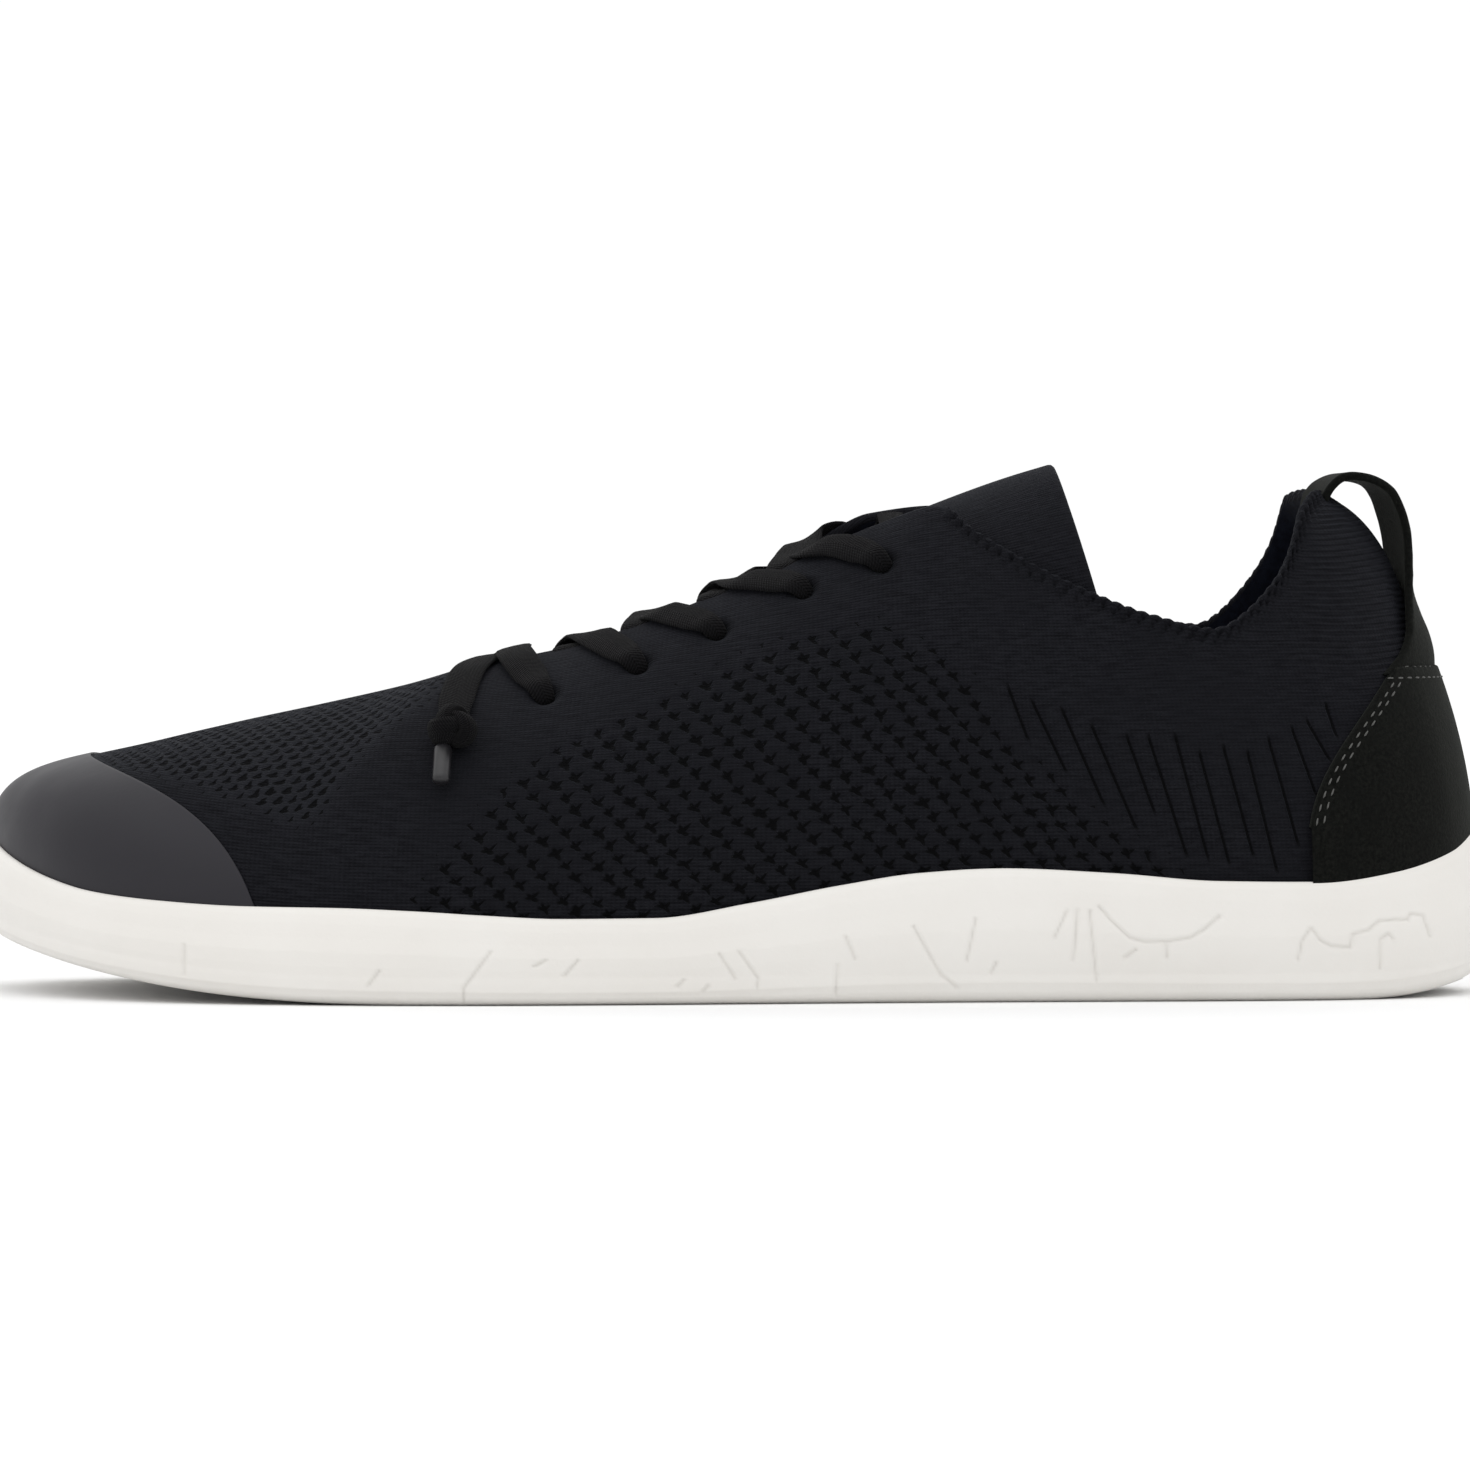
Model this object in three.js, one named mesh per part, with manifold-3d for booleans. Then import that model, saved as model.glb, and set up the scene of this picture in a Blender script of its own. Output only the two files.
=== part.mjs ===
// A left barefoot running shoe: a hollow knitted upper on a white rubber cup sole,
// with a tongue, footbed, toe cap, heel counter, pull loop and a crossed flat lace.
// Millimetres. The toe points along -X, the outer (lateral) side faces -Y and +Z is up.
// The origin is on the ground under the middle of the sole.
import * as THREE from "three";
import Module from "manifold-3d";

const wasm = await Module();
wasm.setup();

// Driving sizes
const shoeLength = 288;
const ballWidth = 110;
const instepHeight = 92.4; // top corner of the throat above the ground
const heelHeight = 96; // top of the collar at the back
const upperWall = 2.2;
const fitGap = 0.3; // between pieces that touch on the real shoe

// Sole
const soleWall = 4.6; // thickness of the cup's wall near the ground
const soleFloor = 5; // rubber under the footbed, tread included
const archWallHeight = 24.7; // top edge of the side wall at the arch
const toeSpring = 11.5;
const heelLift = 3.2;
const treadStep = 0.55; // the wall stands this far out over the tread layer
const treadDepth = 1.6;
const treadGap = 1.6;
const archHollow = 1.6; // the tread is higher here, behind the arch

// Footbed and tongue
const footbedThickness = 3.5;
const footbedCup = 1.6; // its rim stands this far above its middle
const tongueThickness = 2.6;

// Overlays, pull loop and lace
const capThickness = 1;
const counterThickness = 1.5;
const seamGap = 0.4;
const strapThickness = 1.6;
const counterHeight = 61;
const counterReach = 36; // from the back of the sole to the counter's front edge
const capReach = 58; // from the tip of the sole to the cap's rear edge
const strapWidth = 16;
const strapFoot = 33; // strap width where it is sewn to the counter
const loopRise = 2.2; // middle of the strap above the collar
const laceWidth = 7;
const laceThickness = 1.3;
const eyeletDiameter = 4.2;
const eyeletSetback = 17; // from the throat's edge, along the surface
const knotSize = 9.2;
const agletLength = 8;
const agletDiameter = 3.2;

// The last is the form of the upper's outer face
const lastLength = shoeLength - 2 * soleWall;
const lastWidth = ballWidth - 2 * soleWall;

// One row for each rib of the last, from the back of the heel to the tip of the toe.
// foot, top: where the rib starts and ends, as shares of the last's length from the heel
// lateral, medial: half widths at the foot, as shares of the last's width
// opening: half width at the top, ridge: its middle, as shares of the last's width
// byHeel, byInstep: height of the top, as shares of the heel and instep heights
// higher: how much higher the medial top is, as a share of the instep height
// bulge: how far the lower handle swings out, as a share of the last's width
// rise, lean, drop: handle lengths, as shares of the rib's height, reach and height
// outerWall, innerWall: top of the sole's side wall, as shares of its height at the arch
const ribColumns = [
  "foot", "lateral", "medial", "top", "opening", "ridge", "byHeel", "byInstep", "higher",
  "bulge", "rise", "lean", "drop", "outerWall", "innerWall",
];
const ribRows = [
  [0.0, 0.0, 0.0, 0.09, 0.0, 0.0, 1.0, 0.0, 0.0, 0.074, 0.42, 0.5, 0.165, 1.275, 1.275],
  [0.018, 0.165, 0.165, 0.097, 0.08, 0.0, 0.995, 0.0, 0.004, 0.072, 0.4, 0.5, 0.18, 1.12, 1.12],
  [0.055, 0.262, 0.262, 0.109, 0.174, 0.0, 0.953, 0.0, 0.03, 0.07, 0.38, 0.5, 0.22, 0.97, 0.98],
  [0.11, 0.318, 0.312, 0.125, 0.243, 0.0, 0.833, 0.0, 0.028, 0.07, 0.36, 0.54, 0.25, 0.89, 0.91],
  [0.175, 0.345, 0.33, 0.1737, 0.3, 0.0, 0.355, 0.37, 0.006, 0.068, 0.34, 0.58, 0.28, 0.9, 0.93],
  [0.245, 0.362, 0.325, 0.217, 0.309, 0.0, 0.0, 0.767, 0.002, 0.064, 0.32, 0.6, 0.28, 0.96, 1.0],
  [0.32, 0.382, 0.308, 0.278, 0.288, 0.0, 0.0, 0.842, 0.002, 0.06, 0.32, 0.6, 0.24, 1.0, 1.07],
  [0.375, 0.4, 0.302, 0.333, 0.223, 0.0, 0.0, 0.937, 0.003, 0.055, 0.33, 0.6, 0.18, 0.968, 1.07],
  [0.43, 0.42, 0.308, 0.361, 0.159, 0.0, 0.0, 0.997, 0.004, 0.052, 0.35, 0.6, 0.18, 0.875, 0.99],
  [0.49, 0.444, 0.335, 0.405, 0.132, 0.0, 0.0, 0.955, 0.03, 0.05, 0.36, 0.61, 0.2, 0.745, 0.84],
  [0.55, 0.468, 0.38, 0.468, 0.122, 0.0, 0.0, 0.868, 0.02, 0.048, 0.38, 0.62, 0.2, 0.64, 0.7],
  [0.61, 0.488, 0.428, 0.538, 0.114, 0.0, 0.0, 0.784, 0.014, 0.045, 0.4, 0.62, 0.2, 0.636, 0.645],
  [0.665, 0.499, 0.466, 0.6, 0.1, 0.0, 0.0, 0.718, 0.008, 0.043, 0.42, 0.62, 0.18, 0.664, 0.66],
  [0.705, 0.5, 0.485, 0.645, 0.065, 0.0, 0.0, 0.686, 0.003, 0.042, 0.44, 0.62, 0.1, 0.692, 0.68],
  [0.76, 0.488, 0.5, 0.669, 0.0, 0.0, 0.0, 0.676, 0.0, 0.042, 0.48, 0.62, 0.0, 0.717, 0.71],
  [0.82, 0.455, 0.498, 0.722, 0.0, 0.01, 0.0, 0.632, 0.0, 0.046, 0.54, 0.63, 0.0, 0.725, 0.73],
  [0.875, 0.395, 0.478, 0.776, 0.0, 0.022, 0.0, 0.595, 0.0, 0.054, 0.62, 0.66, 0.0, 0.757, 0.76],
  [0.922, 0.305, 0.438, 0.826, 0.0, 0.038, 0.0, 0.563, 0.0, 0.062, 0.7, 0.7, 0.0, 0.815, 0.83],
  [0.958, 0.195, 0.378, 0.864, 0.0, 0.055, 0.0, 0.537, 0.0, 0.07, 0.77, 0.74, 0.0, 0.935, 0.95],
  [0.983, 0.065, 0.3, 0.889, 0.0, 0.07, 0.0, 0.519, 0.0, 0.076, 0.83, 0.78, 0.0, 1.08, 1.1],
  [1.0, -0.12, 0.12, 0.9035, 0.0, 0.08, 0.0, 0.509, 0.0, 0.08, 0.86, 0.8, 0.0, 1.22, 1.22],
];
const lastRow = ribRows.length - 1;
const ridgeEnd = 0.2; // rows before the tip where the ridge still has a direction of its own
const vampRow = 14; // the throat ends here, and both sides meet on the ridge

const mix = THREE.MathUtils.lerp;

// Slope at each knot of a row of values, which keeps the curve from overshooting them
function slopesOf(values) {
  return values.map((value, i) => {
    const before = value - values[(i + values.length - 1) % values.length];
    const after = values[(i + 1) % values.length] - value;
    return before * after <= 0 ? 0 : (2 * before * after) / (before + after);
  });
}

function hermite(values, slopes, at) {
  const n = values.length;
  const i = Math.floor(at);
  const t = at - i;
  const [a, b] = [((i % n) + n) % n, (((i + 1) % n) + n) % n];
  return (
    values[a] * (1 + 2 * t) * (1 - t) ** 2 +
    slopes[a] * t * (1 - t) ** 2 +
    values[b] * t * t * (3 - 2 * t) +
    slopes[b] * t * t * (t - 1)
  );
}

// The ribs as one closed loop: out along the lateral side and back along the medial side
const loopOrder = [
  ...ribRows.map((row, i) => ({ row, side: -1, i })),
  ...ribRows.map((row, i) => ({ row, side: 1, i })).slice(1, lastRow).reverse(),
];
const loopLength = loopOrder.length;
const column = (name) => ribColumns.indexOf(name);
const loopValues = {
  footX: ({ row }) => lastLength * (0.5 - row[column("foot")]),
  footY: ({ row, side }) =>
    side * lastWidth * row[column(side < 0 ? "lateral" : "medial")],
  topX: ({ row }) => lastLength * (0.5 - row[column("top")]),
  opening: ({ row, side }) => side * lastWidth * row[column("opening")],
  ridge: ({ row }) => lastWidth * row[column("ridge")],
  topZ: ({ row, side }) =>
    heelHeight * row[column("byHeel")] + instepHeight * row[column("byInstep")] +
    (side < 0 ? 0 : instepHeight * row[column("higher")]),
  bulge: ({ row }) => lastWidth * row[column("bulge")],
  rise: ({ row }) => row[column("rise")],
  lean: ({ row }) => row[column("lean")],
  drop: ({ row }) => row[column("drop")],
  wallTop: ({ row, side }) =>
    archWallHeight * row[column(side < 0 ? "outerWall" : "innerWall")],
};
const loopCurves = Object.fromEntries(
  Object.entries(loopValues).map(([name, rule]) => {
    const values = loopOrder.map(rule);
    return [name, { values, slopes: slopesOf(values) }];
  }),
);
const along = (name, at) =>
  hermite(loopCurves[name].values, loopCurves[name].slopes, at);

// Underside of the sole at a distance x from its middle: toe spring and rolled heel
function groundAt(x) {
  const share = 0.5 - x / shoeLength;
  const springStart = 0.68;
  const heelRoll = 0.09;
  const toe = Math.max(0, (share - springStart) / (1 - springStart));
  const heel = Math.max(0, (heelRoll - share) / heelRoll);
  return toeSpring * Math.min(toe, 1.05) ** 2.5 + heelLift * Math.min(heel, 1.1) ** 2;
}
const floorAt = (x) => groundAt(x) + soleFloor;

// Outward direction in plan at a place on the loop
function outwardAt(at) {
  const step = 0.02;
  const dx = along("footX", at + step) - along("footX", at - step);
  const dy = along("footY", at + step) - along("footY", at - step);
  return new THREE.Vector3(dy, -dx, 0).normalize().negate();
}

const onVamp = (at) => at >= vampRow && at <= loopLength - vampRow;

// The four Bezier points of the rib at a place on the loop
function ribHandles(at) {
  const foot = new THREE.Vector3(along("footX", at), along("footY", at), 0);
  foot.z = floorAt(foot.x) + fitGap;
  const top = new THREE.Vector3(
    along("topX", at),
    along("ridge", at) + along("opening", at),
    along("topZ", at),
  );
  const height = top.z - foot.z;
  const low = foot
    .clone()
    .addScaledVector(outwardAt(at), along("bulge", at))
    .setZ(foot.z + along("rise", at) * height);
  const reach = foot.clone().sub(top).setZ(0);
  const lean = along("lean", at);
  const high = top.clone().addScaledVector(reach, lean);
  if (onVamp(at)) {
    const near = Math.min(at, loopLength - at);
    const run = along("topX", near) - along("topX", near - 0.5);
    const climb = along("topZ", near) - along("topZ", near - 0.5);
    high.z += (climb / run) * lean * reach.x;
  }
  high.z -= along("drop", at) * height;
  return [foot, low, high, top];
}

// A point of the rib: v runs from 0 at the foot to 1 at the top, and on past both ends
function ribPoint(handles, v) {
  const [a, b, c, d] = handles;
  if (v < 0) return a.clone().setZ(a.z + v * (d.z - a.z));
  if (v > 1) return d.clone().addScaledVector(d.clone().sub(c).normalize(), (v - 1) * d.z);
  const w = 1 - v;
  return a
    .clone()
    .multiplyScalar(w * w * w)
    .addScaledVector(b, 3 * v * w * w)
    .addScaledVector(c, 3 * v * v * w)
    .addScaledVector(d, v * v * v);
}

function faceNormal(at, v) {
  const [stepAt, stepV] = [0.05, 0.01];
  const low = Math.max(v - stepV, 0);
  const high = Math.min(v + stepV, 1);
  const around = ribPoint(ribHandles(at + stepAt), v).sub(ribPoint(ribHandles(at - stepAt), v));
  const handles = ribHandles(at);
  const up = ribPoint(handles, high).sub(ribPoint(handles, low));
  return up.cross(around).normalize();
}

// The upper's own function: a point of its outer face, moved out by lift
function lastPoint(place, v, lift = 0) {
  const onRidge = v >= 1 && onVamp(place);
  const at = onRidge ? Math.min(place, loopLength - place) : place;
  const point = ribPoint(ribHandles(at), v);
  if (!lift) return point;
  const inside = Math.min(Math.max(v, 0), 1);
  const beside = onRidge ? Math.min(at, lastRow - ridgeEnd) : at;
  const normal = faceNormal(beside, inside);
  if (onRidge) normal.add(faceNormal(loopLength - beside, inside)).normalize();
  if (v <= 0) normal.setZ(0).normalize();
  return point.addScaledVector(normal, lift);
}

// Where the rib passes a height, and how far back along it a length from its top lies
function heightOnRib(at, z) {
  const handles = ribHandles(at);
  let [low, high] = [0, 1];
  for (let i = 0; i < 20; i++) {
    const middle = (low + high) / 2;
    if (ribPoint(handles, middle).z < z) low = middle;
    else high = middle;
  }
  return low;
}
function backFromTop(at, length) {
  const handles = ribHandles(at);
  let [v, gone] = [1, 0];
  while (gone < length && v > 0) {
    const here = ribPoint(handles, v);
    v -= 0.005;
    gone += here.distanceTo(ribPoint(handles, v));
  }
  return v;
}

// Solids from points and faces
function solidOf(points, faces) {
  const found = new Map();
  const kept = [];
  const place = points.map((p) => {
    const key = [p.x, p.y, p.z].map((c) => Math.round(c * 1e3)).join();
    if (!found.has(key)) {
      found.set(key, kept.length / 3);
      kept.push(p.x, p.y, p.z);
    }
    return found.get(key);
  });
  const corners = faces
    .map((face) => face.map((i) => place[i]))
    .filter(([a, b, c]) => a !== b && b !== c && a !== c);
  const mesh = new wasm.Mesh({
    numProp: 3,
    vertProperties: new Float32Array(kept),
    triVerts: new Uint32Array(corners.flat()),
  });
  return new wasm.Manifold(mesh);
}

function geometryOf(solid) {
  const mesh = solid.getMesh();
  return new THREE.BufferGeometry()
    .setAttribute("position", new THREE.BufferAttribute(mesh.vertProperties, 3))
    .setIndex(new THREE.BufferAttribute(mesh.triVerts, 1));
}

const largestOf = (solid) =>
  solid.decompose().sort((a, b) => b.volume() - a.volume())[0];

// Faces between two rings of equal length, and straight across one ring
function band(below, above, count, skip = () => false) {
  const faces = [];
  for (let i = 0; i < count; i++) {
    const j = (i + 1) % count;
    if (skip(i)) continue;
    faces.push([below + i, above + i, above + j], [below + i, above + j, below + j]);
  }
  return faces;
}
function ladder(start, count, facesUp) {
  const faces = [];
  for (let i = 0; i < count / 2; i++) {
    const [a, b] = [start + i, start + i + 1];
    const [c, d] = [start + ((count - i) % count), start + count - i - 1];
    const pair = [[a, b, d], [a, d, c]];
    faces.push(...(facesUp ? pair.map(([p, q, r]) => [p, r, q]) : pair));
  }
  return faces;
}

// A closed form from rings that climb, closed straight across below and above
function loftOf(rings) {
  const count = rings[0].length;
  const faces = [...ladder(0, count, false)];
  rings.slice(1).forEach((_, k) => faces.push(...band(k * count, (k + 1) * count, count)));
  faces.push(...ladder((rings.length - 1) * count, count, true));
  return solidOf(rings.flat(), faces);
}

// Places on the loop: every row, and halfway between rows where the outline turns more
const cornerRow = 8;
const places = Array.from({ length: loopLength * 2 }, (_, i) => i / 2).filter((at) => {
  const near = Math.min(at, loopLength - at);
  return Number.isInteger(at) || near < cornerRow || near > vampRow;
});
const ribSteps = [0, 0.11, 0.23, 0.36, 0.5, 0.64, 0.78, 0.9, 1];
const ringAt = (v, lift) => places.map((at) => lastPoint(at, v, lift));

// The last as a closed form, grown by lift, down to a height above the sole's floor
function lastForm(lift, aboveFloor) {
  const rings = ribSteps.map((v) => ringAt(v, lift));
  const base = rings[0].map((p) => p.clone().setZ(floorAt(p.x) + aboveFloor));
  return loftOf([base, ...rings]);
}

// The wall between two lifts, open underneath and at the collar and throat
function wallForm(outer, inner, beyondTop, beyondFoot) {
  const steps = [-beyondFoot, ...ribSteps.slice(beyondFoot ? 0 : 1, -1), 1 + beyondTop];
  const rings = [
    ...steps.map((v) => ringAt(v, outer)),
    ...steps.toReversed().map((v) => ringAt(v, inner)),
  ];
  const count = places.length;
  const onRidge = (i) => onVamp(places[i]) && onVamp(places[i + 1]);
  const faces = rings.flatMap((_, k) =>
    band(k * count, ((k + 1) % rings.length) * count, count,
      (i) => k === steps.length - 1 && onRidge(i)),
  );
  return solidOf(rings.flat(), faces);
}

// A closed form between a side outline in x and z, through the whole width
function sideForm(outline, from, to) {
  const shape = new THREE.Shape(outline.map(([x, z]) => new THREE.Vector2(x, z)));
  const depth = to - from;
  const geometry = new THREE.ExtrudeGeometry(shape, { depth, bevelEnabled: false });
  geometry.rotateX(Math.PI / 2).translate(0, to, 0);
  return solidFromGeometry(geometry);
}
function solidFromGeometry(geometry) {
  const soup = geometry.index ? geometry.toNonIndexed() : geometry;
  const position = soup.getAttribute("position");
  const points = Array.from({ length: position.count }, (_, i) =>
    new THREE.Vector3().fromBufferAttribute(position, i),
  );
  const faces = Array.from({ length: position.count / 3 }, (_, i) => [3 * i, 3 * i + 1, 3 * i + 2]);
  return solidOf(points, faces);
}

// A sheet from rings that each run across one face and back across the other
function sheetOf(rings, across) {
  const count = rings[0].length;
  const faces = [];
  rings.slice(1).forEach((_, k) => faces.push(...band(k * count, (k + 1) * count, count)));
  const endFaces = (start, flip) => {
    for (let i = 0; i < across; i++) {
      const [a, b, c, d] = [i, i + 1, count - 2 - i, count - 1 - i].map((n) => start + n);
      const pair = [[a, b, c], [a, c, d]];
      faces.push(...(flip ? pair.map(([p, q, r]) => [p, r, q]) : pair));
    }
  };
  endFaces(0, false);
  endFaces((rings.length - 1) * count, true);
  return solidOf(rings.flat(), faces);
}

// A flat band with a width and thickness along a list of stations
function ribbonOf(stations, thickness) {
  const rings = stations.map(({ centre, across, normal, width }) => {
    const side = across.clone().multiplyScalar(width / 2);
    const up = normal.clone().multiplyScalar(thickness / 2);
    return [
      centre.clone().sub(side).sub(up),
      centre.clone().add(side).sub(up),
      centre.clone().add(side).add(up),
      centre.clone().sub(side).add(up),
    ];
  });
  const faces = [[0, 1, 2], [0, 2, 3]];
  rings.slice(1).forEach((_, k) => faces.push(...band(k * 4, (k + 1) * 4, 4)));
  const end = (rings.length - 1) * 4;
  faces.push([end, end + 2, end + 1], [end, end + 3, end + 2]);
  return solidOf(rings.flat(), faces);
}

// Eyelets: one pair for each place along the throat
const eyelets = [
  { row: 11.95, back: 1.2 },
  { row: 10.95, back: 1.12 },
  { row: 10.2, back: 1 },
  { row: 9.35, back: 0.87 },
  { row: 8.35, back: 0.85 },
];
const onSide = (row, side) => (side < 0 ? row : loopLength - row);
const eyeletAt = (pair, side) => {
  const at = onSide(eyelets[pair].row, side);
  return { at, v: backFromTop(at, eyelets[pair].back * eyeletSetback) };
};

function makeUpper() {
  const wall = wallForm(0, -upperWall, 0, 0);
  const drills = eyelets.flatMap((_, pair) =>
    [-1, 1].map((side) => {
      const { at, v } = eyeletAt(pair, side);
      const drill = new THREE.CylinderGeometry(
        eyeletDiameter / 2, eyeletDiameter / 2, 3 * upperWall, 8,
      );
      drill.applyQuaternion(
        new THREE.Quaternion().setFromUnitVectors(new THREE.Vector3(0, 1, 0), faceNormal(at, v)),
      );
      const middle = lastPoint(at, v, -upperWall / 2);
      drill.translate(middle.x, middle.y, middle.z);
      return solidFromGeometry(drill);
    }),
  );
  return wasm.Manifold.difference([wall, ...drills]);
}

// Side wall of the sole: share of its height, and share of the wall's thickness
const wallProfile = [
  { rise: 0, out: 0.2 },
  { rise: 0.03, out: 0.55 },
  { rise: 0.08, out: 0.8 },
  { rise: 0.13, out: 0.88 },
  { rise: 0.14, out: 0.88, step: true },
  { rise: 0.4, out: 0.86, step: true },
  { rise: 0.7, out: 0.66, step: true },
  { rise: 0.95, out: 0.45, step: true },
  { rise: 1, out: 0.34, step: true },
];

function soleBody(grow) {
  const rings = wallProfile.map(({ rise, out, step }) =>
    places.map((at) => {
      const outward = outwardAt(at);
      const foot = lastPoint(at, 0);
      const ground = groundAt(foot.x + outward.x * soleWall);
      const z = ground + rise * (along("wallTop", at) + grow - ground);
      const inside = z < foot.z ? foot : lastPoint(at, heightOnRib(at, z));
      const reach = out * soleWall + (step ? treadStep * (1 - rise) : 0) + grow;
      return inside.clone().addScaledVector(outward, reach).setZ(z);
    }),
  );
  return loftOf(rings);
}

// Grooves across the tread, bent like a shallow chevron
function treadGroove(x, width, sweep) {
  const reach = ballWidth * 0.6;
  const bend = reach / 2;
  const outline = [
    [x + sweep, -reach], [x, -bend], [x + sweep, 0], [x, bend], [x + sweep, reach],
    [x + sweep + width, reach], [x + width, bend], [x + sweep + width, 0],
    [x + width, -bend], [x + sweep + width, -reach],
  ];
  const shape = new THREE.Shape(outline.map(([a, b]) => new THREE.Vector2(a, b)));
  const depth = 2 * soleFloor;
  const geometry = new THREE.ExtrudeGeometry(shape, { depth, bevelEnabled: false });
  geometry.translate(0, 0, treadDepth + groundAt(x) - depth);
  return solidFromGeometry(geometry);
}

function makeSole() {
  const forefootGrooves = [0.68, 0.726, 0.766, 0.806, 0.846];
  const heelGrooves = [0.115, 0.165, 0.215, 0.265];
  const grooves = [...forefootGrooves, ...heelGrooves].map((share) =>
    treadGroove(shoeLength * (0.5 - share), treadGap, 3 * treadGap),
  );
  const archFrom = shoeLength * (0.5 - 0.435);
  const archTo = shoeLength * (0.5 - 0.32);
  const arch = sideForm(
    [
      [archFrom, -soleFloor], [archTo, -soleFloor],
      [archTo - 2 * archHollow, archHollow], [archFrom + 2 * archHollow, archHollow],
    ],
    -ballWidth, ballWidth,
  );
  return wasm.Manifold.difference([soleBody(0), lastForm(fitGap, 0), arch, ...grooves]);
}

function makeFootbed() {
  const inset = upperWall + fitGap;
  const ring = (share, height) =>
    places.map((at) => {
      const edge = lastPoint(at, 0).addScaledVector(outwardAt(at), -inset);
      const middle = new THREE.Vector3(edge.x * 0.94, along("ridge", at), 0);
      const p = middle.lerp(edge, share);
      return p.setZ(floorAt(p.x) + fitGap + height);
    });
  const rim = footbedThickness + footbedCup;
  return loftOf([
    ring(0.985, 0), ring(1, rim / 2), ring(0.98, rim), ring(0.75, footbedThickness),
  ]);
}

// The tongue: one row for each arch, from its sewn end to its top
// at: share of the last's length, height: share of the instep height,
// half: half width as a share of the last's width, sag: how far its sides hang
const tongueRows = [
  { at: 0.7, height: 0.61, half: 0.17, sag: 0.08 },
  { at: 0.65, height: 0.648, half: 0.22, sag: 0.16 },
  { at: 0.6, height: 0.698, half: 0.245, sag: 0.21 },
  { at: 0.54, height: 0.77, half: 0.25, sag: 0.225 },
  { at: 0.475, height: 0.853, half: 0.253, sag: 0.235 },
  { at: 0.41, height: 0.945, half: 0.258, sag: 0.25 },
  { at: 0.355, height: 1.012, half: 0.268, sag: 0.285 },
  { at: 0.3135, height: 1.058, half: 0.275, sag: 0.32 },
  { at: 0.2776, height: 1.09, half: 0.278, sag: 0.335 },
];
const tongueSlant = 0.28; // how far back the sides lie for each millimetre that they hang

function tonguePoint(row, angle, lift) {
  const half = row.half * lastWidth;
  const sag = row.sag * instepHeight;
  const z = row.height * instepHeight - sag * (1 - Math.cos(angle));
  const back = tongueSlant * (row.height * instepHeight - z);
  const normal = new THREE.Vector3(0, Math.sin(angle) * sag, Math.cos(angle) * half).normalize();
  return new THREE.Vector3(
    lastLength * (0.5 - row.at) + back, half * Math.sin(angle), z,
  ).addScaledVector(normal, lift);
}

function tongueForm(grow) {
  const spread = THREE.MathUtils.degToRad(78);
  const across = 12;
  const angles = Array.from({ length: across + 1 }, (_, i) => spread * ((2 * i) / across - 1));
  const rings = tongueRows.map((row) => [
    ...angles.map((angle) => tonguePoint(row, angle, grow)),
    ...angles.toReversed().map((angle) => tonguePoint(row, angle, -tongueThickness - grow)),
  ]);
  return sheetOf(rings, across);
}
const makeTongue = () => largestOf(tongueForm(0).subtract(throatWalls()));

// Overlays: a wall over the upper, cut to its side outline and clear of the sole
function overlay(thickness, shape) {
  const wall = wallForm(fitGap + thickness, fitGap, 0, 0);
  const depth = 2 * ballWidth;
  const outline = new THREE.ExtrudeGeometry(shape, {
    depth, bevelEnabled: false, curveSegments: 8,
  });
  outline.rotateX(Math.PI / 2).translate(0, ballWidth, 0);
  return largestOf(wall.intersect(solidFromGeometry(outline)).subtract(soleBody(fitGap)));
}

function makeToeCap() {
  const tip = -shoeLength;
  const edge = capReach - shoeLength / 2;
  const shape = new THREE.Shape();
  shape.moveTo(tip, 0).lineTo(edge, 0);
  shape.bezierCurveTo(
    edge - 0.02 * capReach, instepHeight * 0.36,
    edge - 0.35 * capReach, instepHeight * 0.42,
    edge - 0.66 * capReach, instepHeight * 0.51,
  );
  shape.lineTo(tip, instepHeight);
  return overlay(capThickness, shape);
}

function makeHeelCounter() {
  const back = shoeLength;
  const front = shoeLength / 2 - counterReach;
  const shape = new THREE.Shape();
  shape.moveTo(back, 0).lineTo(front, 0).lineTo(front, counterHeight * 0.33);
  shape.bezierCurveTo(
    front - 0.04 * counterReach, counterHeight * 0.66,
    front + 0.15 * counterReach, counterHeight * 0.72,
    front + 0.44 * counterReach, counterHeight,
  );
  shape.lineTo(back, counterHeight);
  return overlay(counterThickness, shape);
}

// Pull loop: a row for each place down the outside of the heel
// down: how far it lies below the collar, along the heel's rib
// off: how far it stands off the knit, wide: share of the way to its foot's width
const loopRows = [
  { down: 5.7, off: 7.2, wide: 0.02 },
  { down: 13.1, off: 7.5, wide: 0.05 },
  { down: 20.1, off: 4.6, wide: 0.1 },
  { down: 27.3, off: 1.4, wide: 0.28 },
  { down: 34.8, off: 0.5, wide: 0.55 },
];
const loopRound = 0.23; // radius that it is bent round, as a share of the last's width

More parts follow.
